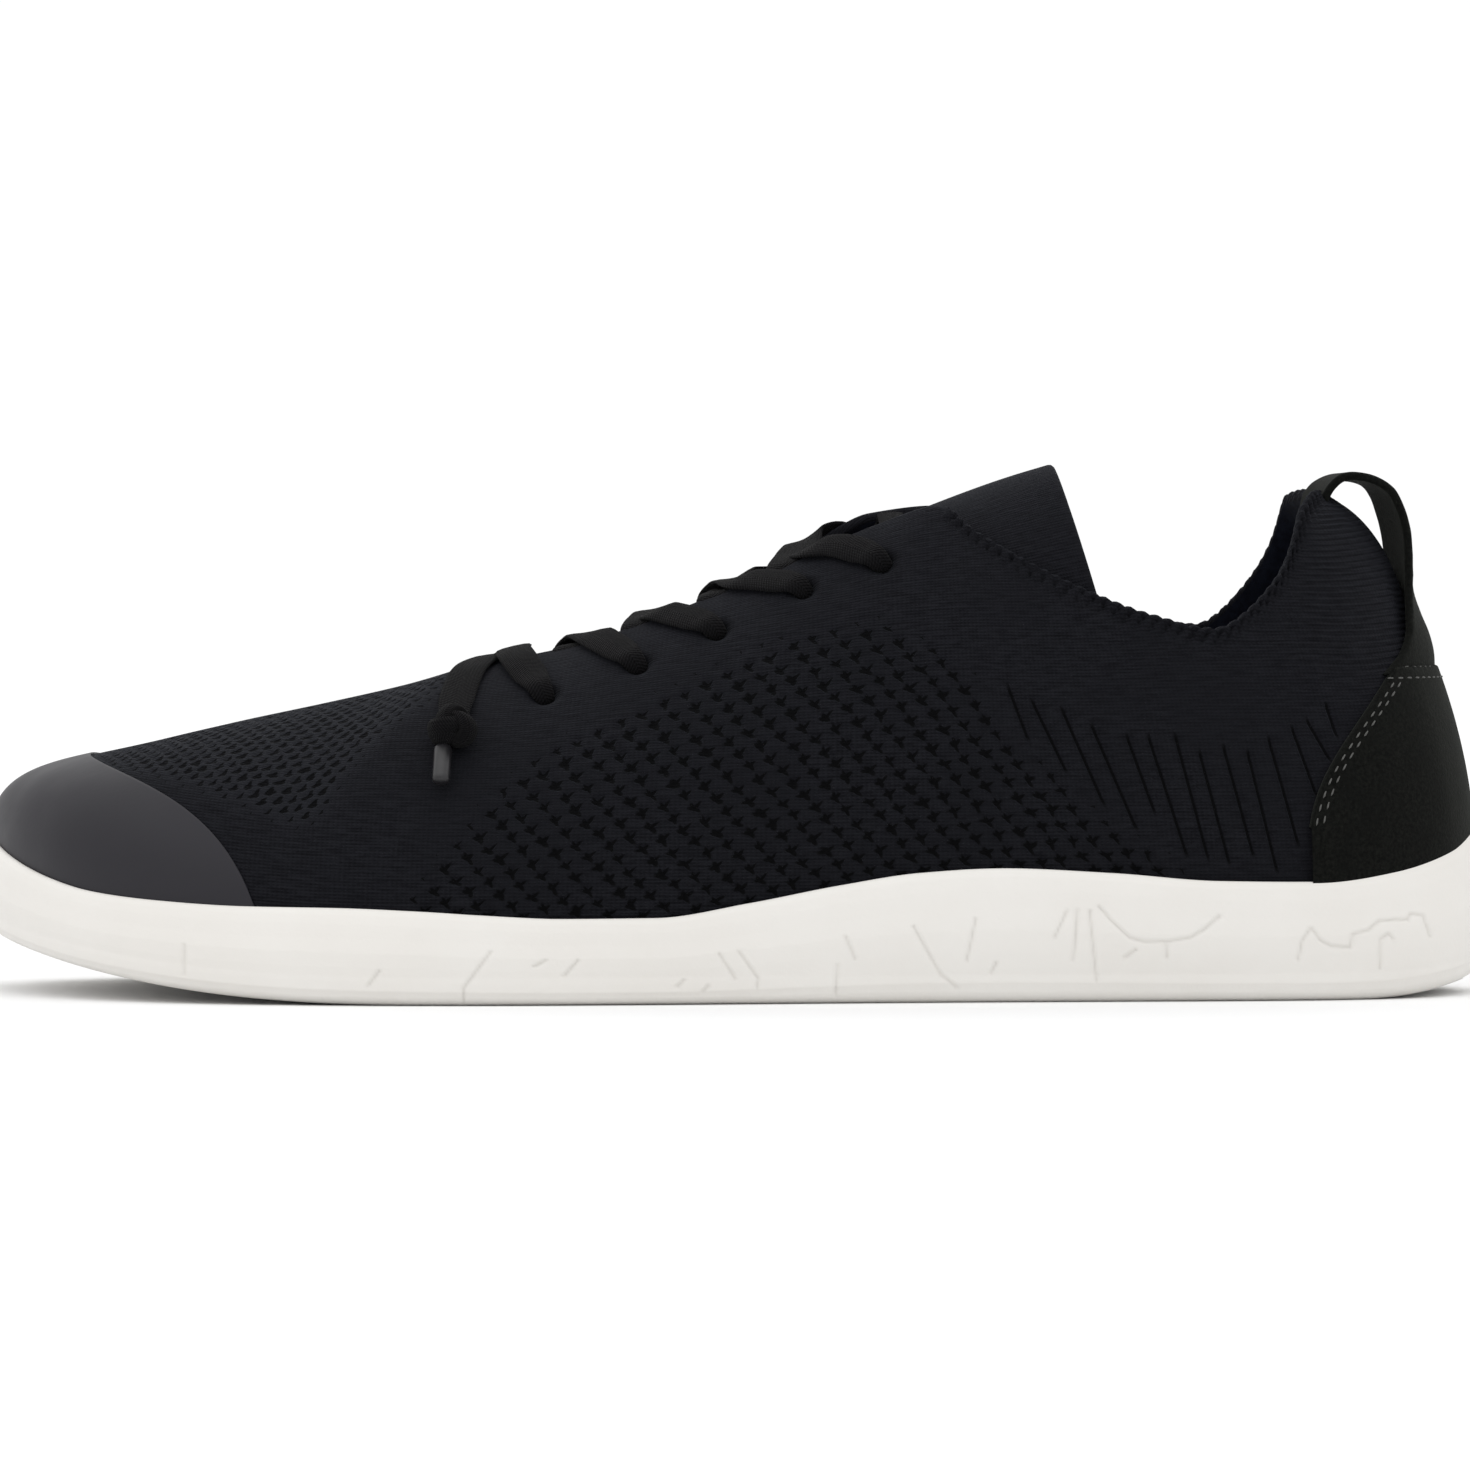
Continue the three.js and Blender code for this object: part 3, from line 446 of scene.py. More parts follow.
def blended(factor, first, second):
    node = factor.tree.nodes.new("ShaderNodeMix")
    node.data_type = "RGBA"
    for n, value in ((0, factor), (6, first), (7, second)):
        feed(node.inputs[n], value)
    return Wire(node.outputs[2])


def noise(tree, scale, detail=3.0, roughness=0.55, coordinates=None):
    node = tree.nodes.new("ShaderNodeTexNoise")
    if coordinates is None:
        coordinates = Wire(tree.nodes.new("ShaderNodeTexCoord").outputs["Object"])
    for name, value in (
        ("Vector", coordinates), ("Scale", scale), ("Detail", detail), ("Roughness", roughness),
    ):
        feed(node.inputs[name], value)
    return Wire(node.outputs[0])


# Millimetres along and across, from one of the piece's own maps
def surfaceCoordinates(tree, name="surface"):
    node = tree.nodes.new("ShaderNodeUVMap")
    node.uv_map = name
    split = tree.nodes.new("ShaderNodeSeparateXYZ")
    feed(split.inputs[0], Wire(node.outputs[0]))
    return [Wire(split.outputs[n]) * 1000.0 for n in range(2)]


def markOf(tree, name):
    node = tree.nodes.new("ShaderNodeAttribute")
    node.attribute_name = name
    return Wire(node.outputs["Fac"])


# Holes in brick order: pitch along a row, gap between rows, in millimetres
holes = {
    "side": {"pitch": 4.0, "rowGap": 3.1, "radius": 1.05, "arm": 0.41},
    "vamp": {"pitch": 2.9, "rowGap": 2.5, "radius": 0.84, "arm": 0.68},
}


def cellNodes(u, w, pattern):
    row = w / pattern["rowGap"]
    odd = row.math("FLOOR").math("FLOORED_MODULO", 2.0)
    shifted = u / pattern["pitch"] + odd * 0.5
    cx = (shifted.math("FRACT") - 0.5) * pattern["pitch"]
    return cx, (row.math("FRACT") - 0.5) * pattern["rowGap"]


def ellipseNodes(cx, cy, wide, tall):
    a, b = cx / wide, cy / tall
    return (a * a + b * b).math("SQRT")


# A hole of three arms, as between slipped stitches; the mark shrinks it at the zone's edge
def holeNodes(u, w, pattern, mark):
    cx, cy = cellNodes(u, w, pattern)
    radius, arm, long = (pattern["radius"] * share for share in (1, pattern["arm"], 1.1))
    lean, droop, drop = 0.55, -0.35, 0.1
    upright = ellipseNodes(cx + cy * lean, cy + drop * radius, arm, long)
    level = ellipseNodes(cx, cy + cx.math("ABSOLUTE") * droop, long, arm)
    size = mark * 1.1 + 0.02
    return ranged(upright.math("MINIMUM", level) / size, 0.75, 1.15, 1.0, 0.0)


# Pitches of the knit and of the lace's weave, in millimetres
yarns = {"course": 0.62, "wale": 0.9, "rib": 1.3, "plait": 0.62, "cord": 0.6}


def makeKnit():
    material, tree = newFinish("blackKnit", 0.9, 0.1, 0.028, 0.4, (0.7, 0.78, 1.0))
    u, w = surfaceCoordinates(tree)
    wave = waves(w, yarns["course"])
    lean = u * (2 * math.pi / yarns["wale"]) + wave * 1.2
    stitch = wave * 0.5 + lean.math("SINE") * 0.3
    join = tree.nodes.new("ShaderNodeCombineXYZ")
    feed(join.inputs[0], u * 0.14)
    feed(join.inputs[1], w)
    streaks = noise(tree, 1.5, 3.0, 0.6, Wire(join.outputs[0]))
    fuzz, patches = noise(tree, 1300.0, 2.0), noise(tree, 38.0)
    hu, hw = surfaceCoordinates(tree, "lattice")
    hu += ranged(noise(tree, 200.0, 1.0), 0.3, 0.7, -0.4, 0.4)
    hw += ranged(noise(tree, 180.0, 1.0), 0.3, 0.7, -0.35, 0.35)
    side = holeNodes(hu, hw, holes["side"], markOf(tree, "sideHoles"))
    vamp = holeNodes(hu, hw, holes["vamp"], markOf(tree, "vampHoles"))
    # Painted shade: the holes, the eyelet pits, the groove lines and the hollows between the collar's loops
    # are darkened nearly to black below. The holes are real openings, and the rest of their near-black is
    # painted shade.
    grooveShade = ranged(markOf(tree, "grooveSide").math("ABSOLUTE"), 0.12, 0.42, 1.0, 0.0)
    shadedHollows = side.math("MAXIMUM", vamp).math("MAXIMUM", markOf(tree, "pit"))
    shadedHollows = shadedHollows.math("MAXIMUM", grooveShade * markOf(tree, "grooveNear"))
    height = stitch * 0.5 + (streaks * 2.2 + fuzz * 0.8)
    tone = blended(ranged(height, 0.7, 2.3), (0.0016, 0.0016, 0.0028), (0.0096, 0.0099, 0.0128))
    tone = blended(ranged(patches, 0.35, 0.7, 0.0, 0.6), tone, (0.0048, 0.005, 0.0068))
    tone = blended(markOf(tree, "vampHoles") * 0.38, tone, (0.0165, 0.0175, 0.0215))
    # painted shade: near-black in the holes, pits, grooves and loop hollows
    tone = blended(shadedHollows, tone, (0.0003, 0.0003, 0.0006))
    uneven = w + ranged(patches, 0.3, 0.7, -0.5, 0.5)
    ribbing = waves(uneven, yarns["rib"]) * markOf(tree, "fineRibs")
    return paint(material, tone, height + ribbing * 1.3 - shadedHollows * 2.6, 0.00012)


def makeLining():
    material, tree = newFinish("navyLining", 0.92, 0.1, 0.04)
    fine, broad = noise(tree, 700.0), noise(tree, 60.0, 2.0)
    cloth = blended(ranged(fine, 0.3, 0.7), (0.002, 0.0025, 0.006), (0.005, 0.0066, 0.013))
    cloth = blended(ranged(broad, 0.4, 0.7, 0.0, 0.4), cloth, (0.003, 0.0036, 0.008))
    return paint(material, cloth, fine, 0.00015, 0.8)


def makeRubber():
    material, tree = newFinish("whiteRubber", 0.56, 0.42)
    grain, mottle = noise(tree, 1400.0, 2.0), noise(tree, 26.0, 4.0)
    scuffs = noise(tree, 180.0, 5.0, 0.7)
    body = blended(ranged(mottle, 0.3, 0.72), (0.722, 0.7, 0.664), (0.75, 0.732, 0.7))
    body = blended(ranged(scuffs, 0.62, 0.8, 0.0, 0.2), body, (0.66, 0.64, 0.6))
    # painted shade: the engraved lines on the side wall are darkened
    body = blended(markOf(tree, "engravedShade") * 0.3, body, (0.5, 0.475, 0.43))
    return paint(material, body, grain + scuffs * 0.6, 0.00005, 0.6, ranged(scuffs, 0.3, 0.8, 0.5, 0.68))


def makeFilm():
    material, tree = newFinish("toeFilm", 0.45, 0.34)
    grain, cloudy = noise(tree, 1100.0, 2.0), noise(tree, 45.0, 4.0)
    skin = blended(ranged(cloudy, 0.3, 0.7), (0.007, 0.006, 0.0102), (0.0104, 0.0092, 0.0138))
    return paint(material, skin, grain, 0.00003, 0.5, ranged(cloudy, 0.3, 0.75, 0.42, 0.54))


def makeSuede():
    material, tree = newFinish("blackSuede", 0.93, 0.08, 0.035, 0.5, (0.85, 0.9, 0.8))
    nap, brushed = noise(tree, 1500.0, 3.0, 0.65), noise(tree, 120.0, 4.0, 0.6)
    hide = blended(ranged(nap, 0.3, 0.72), (0.0012, 0.0014, 0.0012), (0.0062, 0.0066, 0.0056))
    hide = blended(ranged(brushed, 0.4, 0.72, 0.0, 0.6), hide, (0.0024, 0.0027, 0.0024))
    return paint(material, hide, nap + brushed * 0.7, 0.00016, 0.8)


def makeLaceWeave():
    material, tree = newFinish("laceWeave", 0.9, 0.08, 0.022, 0.45)
    run, across = surfaceCoordinates(tree)
    plait = waves(run / yarns["plait"] + across.math("ABSOLUTE") * 1.1, 1.0)
    height = plait + waves(across, yarns["cord"]) * 0.5 + noise(tree, 1500.0, 2.0) * 1.6
    tone = blended(ranged(height, -0.9, 2.4), (0.0014, 0.0013, 0.0016), (0.0058, 0.0054, 0.0062))
    return paint(material, tone, height, 0.00008)


def makeTip():
    material, tree = newFinish("laceTip", 0.35, 0.45)
    worn = noise(tree, 420.0, 4.0)
    skin = blended(ranged(worn, 0.4, 0.75), (0.0085, 0.008, 0.0095), (0.016, 0.0155, 0.018))
    return paint(material, skin, worn, 0.00003, 0.5)


def makeThread():
    material, tree = newFinish("greyThread", 0.7, 0.5)
    return paint(material, blended(noise(tree, 2500.0, 1.0), (0.045, 0.045, 0.042), (0.1, 0.1, 0.094)))


knit = makeKnit()
lining = makeLining()
rubber = makeRubber()
film = makeFilm()
suede = makeSuede()
laceWeave = makeLaceWeave()
tipPlastic = makeTip()
thread = makeThread()
print("finishes made")

# The lace: rows of the last where its eyelets are, and how far down from the throat's edge
lace = {
    "width": 0.007,
    "holeWidth": 0.0042,
    "thickness": 0.0012,
    "setback": 0.017,
    "nearShare": 0.88,
    "farShare": 1.22,
    "drift": (0, 0, 0.33, 0.25, 0.36),  # how much further each pair's strips cross
    "knotRow": 13.05,
    "knotShare": 0.61,
    "barRow": 0.07,  # share of the way from the last eyelet to the throat's end
    "barWidth": 1.2,  # share of the hole's width
    "knotSize": 0.0092,
    "knotLift": 0.35,
    "knotWidth": 0.3,  # shares of the knot's size
    "knotThickness": 0.17,
    "tipLength": 0.009,
    "tipWidth": 0.0032,
    "step": 0.0007,
}
eyelets = [(11.95, 1.2), (10.95, 1.12), (10.2, 1.0), (9.35, 0.87), (8.35, 0.85)]
laceLift = shoe["gap"] + lace["thickness"] / 2
underLift = -shoe["wall"] - shoe["gap"] - lace["thickness"] / 2


def eyeletAt(pair, side):
    row, back = eyelets[pair]
    at = onSide(row, side)
    return at, backFromTop(at, back * lace["setback"])


# Share of the last's length and of the instep's height, then half its width and its sag
tongueTable = np.array([
    (0.7, 0.61, 0.17, 0.08),
    (0.65, 0.648, 0.22, 0.16),
    (0.6, 0.698, 0.245, 0.21),
    (0.54, 0.77, 0.25, 0.225),
    (0.475, 0.853, 0.253, 0.235),
    (0.41, 0.945, 0.258, 0.25),
    (0.355, 1.012, 0.268, 0.285),
    (0.3135, 1.058, 0.275, 0.32),
    (0.2776, 1.09, 0.278, 0.335),
])


def tongueCrown(x):
    return shoe["instepHeight"] * float(
        np.interp(0.5 - x / lastLength, tongueTable[::-1, 0], tongueTable[::-1, 1])
    )


# A station of the lace: its point, the face that it lies on, and its width
def station(at, v, lift, width):
    return lastPoint(at, v, lift), faceNormal(at, min(v, 1.0)), width


def bridge(first, second, share, lift, width):
    point = mix(first[0], second[0], share)
    point[2] = max(point[2], tongueCrown(point[0]) + 2 * shoe["gap"] + lace["thickness"] / 2) + lift
    return point, np.array((0, 0, 1.0)), width


def throughHole(pair, side):
    at, v = eyeletAt(pair, side)
    narrow = lace["holeWidth"]
    return [station(at, v, underLift, narrow), station(at, v, -shoe["wall"] / 2, 0.85 * narrow)]


# One strip: out of its eyelet, over its own edge, across, and under the far edge to the next eyelet
def stripStations(pair, side, over):
    shares = (lace["nearShare"] + lace["drift"][pair], lace["farShare"] + lace["drift"][pair])
    row = [mix(eyelets[pair][0], eyelets[pair - 1][0], share) for share in shares]
    _, v = eyeletAt(pair, side)
    climb = [
        station(onSide(mix(eyelets[pair][0], row[0], t), side), mix(v, 1, t), laceLift, width)
        for t, width in ((0.1, 0.0048), (0.35, 0.0066), (0.7, 0.007), (1, 0.007))
    ]
    farEdge = station(onSide(row[1], -side), 1, 0.1 * underLift, lace["width"])
    nextAt, nextV = eyeletAt(pair - 1, -side)
    hidden = [
        station(mix(onSide(row[1], -side), nextAt, t), mix(1, nextV, t), underLift, width)
        for t, width in ((0.25, 0.007), (0.6, 0.006), (0.85, 0.0048))
    ]
    lift = 0.5 * over * (lace["thickness"] + shoe["gap"])
    middle = [bridge(climb[-1], farEdge, share, lift, lace["width"]) for share in (0.35, 0.65)]
    return throughHole(pair, side) + climb + middle + [farEdge] + hidden


def laceBand(name, stations):
    points, faces, widths = zip(*stations)
    count = int(runLengths(points)[-1] / lace["step"])
    line, places, (face, width) = smoothRoute(points, count, faces, np.array(widths)[:, None])
    run = unit(np.gradient(line, axis=0))
    across = unit(np.cross(run, face))
    for k in range(1, len(across)):
        if np.dot(across[k], across[k - 1]) < 0:
            across[k] = -across[k]
    kernel = np.ones(9) / 9
    padded = np.pad(across, ((4, 4), (0, 0)), mode="edge")
    across = np.stack([np.convolve(padded[:, n], kernel, mode="valid") for n in range(3)], axis=1)
    ring, flat = bandPoints(line, across, width[:, 0], lace["thickness"])
    uv = np.stack(np.broadcast_arrays(places[:, None], flat[None] * width / 2), axis=-1)
    return gridPiece(name, ring, uv), line, places


def halfLace(name, side):
    at, v = eyeletAt(4, side)
    barRow = mix(eyelets[4][0], vampRow, lace["barRow"])
    wide = lace["holeWidth"] * lace["barWidth"]
    edge, farEdge = (station(onSide(barRow, end), 1, underLift, wide) for end in (side, -side))
    under = station(mix(onSide(barRow, side), at, 0.6), mix(1, v, 0.6), underLift, lace["holeWidth"])
    stations = [bridge(edge, farEdge, 0.5, 0.0, wide), edge, under]
    current = side
    for pair in range(4, 0, -1):
        stations += stripStations(pair, current, over=side)
        current = -current
    return laceBand(name, stations + throughHole(0, current))


for side, name in ((-1, "laceFromOuterTop"), (1, "laceFromInnerTop")):
    piece, _, _ = halfLace(name, side)
    nodes = ("lace_crossing_1", "lace_crossing_2", "lace_crossing_3", "lace_crossing_4", "lace_bar")
    finishPiece(piece, laceWeave, "lace", *(nodes if side < 0 else ()))


def knotFrame(side):
    at, share = onSide(lace["knotRow"], side), lace["knotShare"]
    out = faceNormal(at, share)
    down = np.array((0, 0, -1.0))
    down = unit(down - out * np.dot(down, out))
    across = unit(np.cross(down, out))
    return lastPoint(at, share, shoe["gap"] + lace["knotLift"] * lace["knotSize"]), across, down, out


# The knot: a lace wound in three turns through itself
def makeKnotPiece(name, side):
    middle, across, down, out = knotFrame(side)
    size = lace["knotSize"]
    turn = np.linspace(0, 2 * math.pi, 181)
    path = np.stack([
        np.sin(turn) + 2 * np.sin(2 * turn), np.cos(turn) - 2 * np.cos(2 * turn), -np.sin(3 * turn)
    ], axis=1) * np.array((0.118, 0.115, 0.12)) * size
    run = unit(np.gradient(path, axis=0))
    run[0] = run[-1] = unit(path[1] - path[-2])
    sideways = unit(np.cross(run, unit(path + np.array((0, 0, 1e-6)))))
    ring = np.linspace(0, 2 * math.pi, 13)
    width, thickness = lace["knotWidth"] * size, lace["knotThickness"] * size
    local = path[:, None] + (
        np.cos(ring)[None, :, None] * sideways[:, None] * width
        + np.sin(ring)[None, :, None] * np.cross(run, sideways)[:, None] * thickness
    )
    points = middle + local[..., :1] * across + local[..., 1:2] * down + local[..., 2:] * out
    places = turn / turn[-1] * 7 * size
    uv = np.stack(np.broadcast_arrays(places[:, None], np.cos(ring)[None] * width), axis=-1)
    return gridPiece(name, points, uv)


def makeTipPiece(name, side):
    middle, across, down, out = knotFrame(side)
    size, radius = lace["knotSize"], lace["tipWidth"] / 2
    aside, below = 0.18 * size, 0.4 * size
    start = middle - across * side * aside + out * (radius - lace["knotLift"] * size)
    start = start + down * below
    profile = [
        (0.0, 0.0), (0.0, 0.82), (0.04, 0.97), (0.1, 1.0), (0.5, 1.0), (0.9, 1.0), (0.97, 0.95),
        (1.0, 0.8), (1.0, 0.0),
    ]
    ring = np.linspace(0, 2 * math.pi, 25)
    points = np.stack([
        start + down * share * lace["tipLength"]
        + (np.cos(ring)[:, None] * across * 1.05 + np.sin(ring)[:, None] * out * 0.9) * radius * wide
        for share, wide in profile
    ])
    return gridPiece(name, points, flip=True)


# A free end: over the throat's toe end to the knot on the other side
def endStations(side, above):
    ridgeRow = vampRow - 0.2 - 0.8 * above
    over = laceLift + above * 0.6 * lace["thickness"]
    near = ((0.1, laceLift, 0.0048), (0.35, laceLift, 0.0066), (0.7, over, 0.007), (1, over, 0.007))
    far = ((0.05, over, 0.007), (0.35, over, 0.007), (0.7, laceLift, 0.0068), (0.9, 2 * laceLift, 0.005))
    stations = throughHole(0, -side)
    for runs, onThis, rows, heights in (
        (near, -side, (eyelets[0][0], ridgeRow), (eyeletAt(0, -side)[1], 1)),
        (far, side, (ridgeRow, lace["knotRow"]), (1, lace["knotShare"])),
    ):
        for t, lift, width in runs:
            stations.append(station(onSide(mix(*rows, t), onThis), mix(*heights, t), lift, width))
    return stations


for side, above, name in ((-1, 0, "outer"), (1, 1, "inner")):
    knotPiece = makeKnotPiece(f"lace_knot_{name}_wound", side)
    finishPiece(knotPiece, laceWeave, "lace", f"lace_knot_{name}")
    tipPiece = makeTipPiece(f"aglet_{name}_tube", side)
    finishPiece(tipPiece, tipPlastic, "lace_tip", f"aglet_{name}")
    endPiece, line, places = laceBand(f"lace_end_{name}_band", endStations(side, above))
    finishPiece(endPiece, laceWeave, "lace", f"lace_end_{name}")
print("lace threaded")


def segmentDistance(x, z, ax, az, bx, bz):
    dx, dz = bx - ax, bz - az
    t = np.clip(((x - ax) * dx + (z - az) * dz) / max(dx * dx + dz * dz, 1e-12), 0, 1)
    return np.hypot(x - ax - t * dx, z - az - t * dz)


# Soft zone marks: inside an outline in x and z, fading over a margin
def outlineMark(x, z, outline):
    outline = np.array(outline) * 0.001
    nearest = np.full(x.shape, 1e3)
    inside = np.zeros(x.shape, bool)
    for (ax, az), (bx, bz) in zip(outline, np.roll(outline, -1, axis=0)):
        nearest = np.minimum(nearest, segmentDistance(x, z, ax, az, bx, bz))
        crosses = (az > z) != (bz > z)
        reach = ax + (z - az) / np.where(bz == az, 1, bz - az) * (bx - ax)
        inside ^= crosses & (x < reach)
    signed = np.where(inside, nearest, -nearest)
    return smooth(np.clip(signed / upper["zoneFade"] + 0.5, 0, 1))


def holeDepth(u, w, pattern):
    row = w * 1000 / pattern["rowGap"]
    shifted = u * 1000 / pattern["pitch"] + 0.5 * (np.floor(row) % 2)
    cx = (shifted % 1 - 0.5) * pattern["pitch"]
    cy = (row % 1 - 0.5) * pattern["rowGap"]
    return np.clip(1.35 - np.hypot(cx, cy) / pattern["radius"], 0, 1)


# The upper: outer face, rolled edge and lining side in one closed shell
upper = {
    "columnStep": 0.0008,
    "outerRows": 104,
    "rimRows": 5,
    "innerRows": 16,
    "holeDepth": 0.0006,
    "grooveDepth": 0.0007,
    "grooveWidth": 0.00075,
    "grooveReach": 0.0006,
    "picotPitch": 0.0025,
    "picotHeight": 0.00065,
    "picotReach": 0.0021,
    "picotDepth": 0.0009,
    "picotLean": 1.1,
    "picotEnd": 7.7,  # the throat's edge beyond this row is plain
    "heelSwell": 0.0019,
    "swellFrom": 0.62,  # shares of the height
    "swellSpan": 0.36,
    "swellRows": 2.6,
    "backDip": 0.0016,
    "dipFrom": 0.75,
    "dipRows": 1.6,
    "eyeletPit": 0.0016,
    "zoneFade": 0.005,
    "toeFrom": -0.05,  # ahead of this, rows of holes follow the ridge
    "toeDown": 0.06,
    "rowSlope": 0.44,  # climb of the side's rows of holes, up to slopeFrom
    "slopeFrom": 0.01,
    "slopeTo": 0.08,
}
# Outlines in x and z, in millimetres, of the open-worked zones
sideZone = [
    (-64, 0), (-59, 18.5), (-52, 28), (-44.5, 37), (-34.5, 46.5), (-19, 53.5), (-4, 61), (12, 68), (28, 70.5),
    (38, 66), (45.5, 60.5), (50.5, 50), (61, 42), (68.5, 34.5), (81.5, 26.5), (88, 20), (88, 0),
]
vampZone = [
    (-119, 44), (-104, 41.5), (-95, 38.5), (-84, 34.5), (-78, 33), (-74.5, 36), (-72, 41.5), (-67.5, 47),
    (-60.5, 53), (-51.5, 59.5), (-50, 75), (-119, 75),
]
heelRibZone = [(104, 62), (110, 90), (118, 100), (126, 96), (137, 62)]
# Slanted grooves in the rear quarter: x and z of the top and the bottom of each, in millimetres
grooves = [
    (52.5, 57.5, 55.5, 49.5), (57, 55, 62.5, 43.5), (62.5, 53.5, 69.5, 37.5), (68, 50.5, 75.5, 33),
    (74.5, 48.5, 79, 36), (78.5, 48.5, 85, 28), (83.5, 48.5, 89, 27.5), (88, 45.5, 93, 26.5),
    (92.5, 46.5, 97.5, 28), (97, 45.5, 102, 25), (101, 48, 106, 30), (105.5, 50, 109.5, 39),
    (108.5, 51.5, 112, 45.5), (112, 54.5, 113.5, 50),
]


def loopColumns(step, height=0.6, innerStep=None):
    dense = np.linspace(0, lastRow, 2001)
    gone = runLengths(lastPoint(dense, height))
    sides = []
    for spacing in (step, innerStep or step):
        at = np.interp(np.linspace(0, gone[-1], int(gone[-1] / spacing)), gone, dense)
        at[np.argmin(np.abs(at - vampRow))] = vampRow
        sides.append(at)
    return np.concatenate([sides[0], (loopLength - sides[1][::-1])[1:]])


def surfaceMap(points, columns):
    steps = np.linalg.norm(np.diff(points, axis=1), axis=2)
    gone = np.concatenate([np.zeros((len(points), 1)), np.cumsum(steps, axis=1)], axis=1)
    u = np.zeros(gone.shape)
    for side, reference in ((-1, 9.0), (1, loopLength - 9.0)):
        chosen = columns <= lastRow if side < 0 else columns > lastRow
        k = int(np.argmin(np.abs(columns - reference)))
        u[:, chosen] = (points[:, k : k + 1, 0] + side * (gone - gone[:, k : k + 1]))[:, chosen]
    return u


# the pit mark carries painted shade for the eyelet pits and the hollows between the collar's loops
knitMarks = ("sideHoles", "vampHoles", "fineRibs", "pit", "grooveSide", "grooveNear")


def sideLattice(x, z):
    part = np.clip(x, upper["slopeFrom"], upper["slopeTo"]) - upper["slopeFrom"]
    climb = np.minimum(x, upper["slopeFrom"]) + part - part**2 / 2 / (upper["slopeTo"] - upper["slopeFrom"])
    return np.stack([x, z - upper["rowSlope"] * climb], axis=-1)


# How far the nearest groove is, and on which side of it each point lies
def grooveMarks(x, z):
    nearest, grooveSide = np.full(x.shape, 1.0), np.zeros(x.shape)
    for topX, topZ, footX, footZ in grooves:
        distance = segmentDistance(x, z, topX * 1e-3, topZ * 1e-3, footX * 1e-3, footZ * 1e-3)
        across = (x - topX * 1e-3) * (topZ - footZ) + (z - topZ * 1e-3) * (footX - topX)
        across = across / math.hypot(topX - footX, topZ - footZ)
        grooveSide = np.where(distance < nearest, across, grooveSide)
        nearest = np.minimum(nearest, distance)
    return nearest, grooveSide


def eyeletPits(grid):
    pit = np.zeros(grid.shape[:2])
    for pair in range(len(eyelets)):
        for side in (-1, 1):
            away = np.linalg.norm(grid - lastPoint(*eyeletAt(pair, side)), axis=2)
            reach = 0.6 * lace["holeWidth"]
            pit = np.maximum(pit, np.clip(1.5 - away / reach, 0, 1))
    return pit


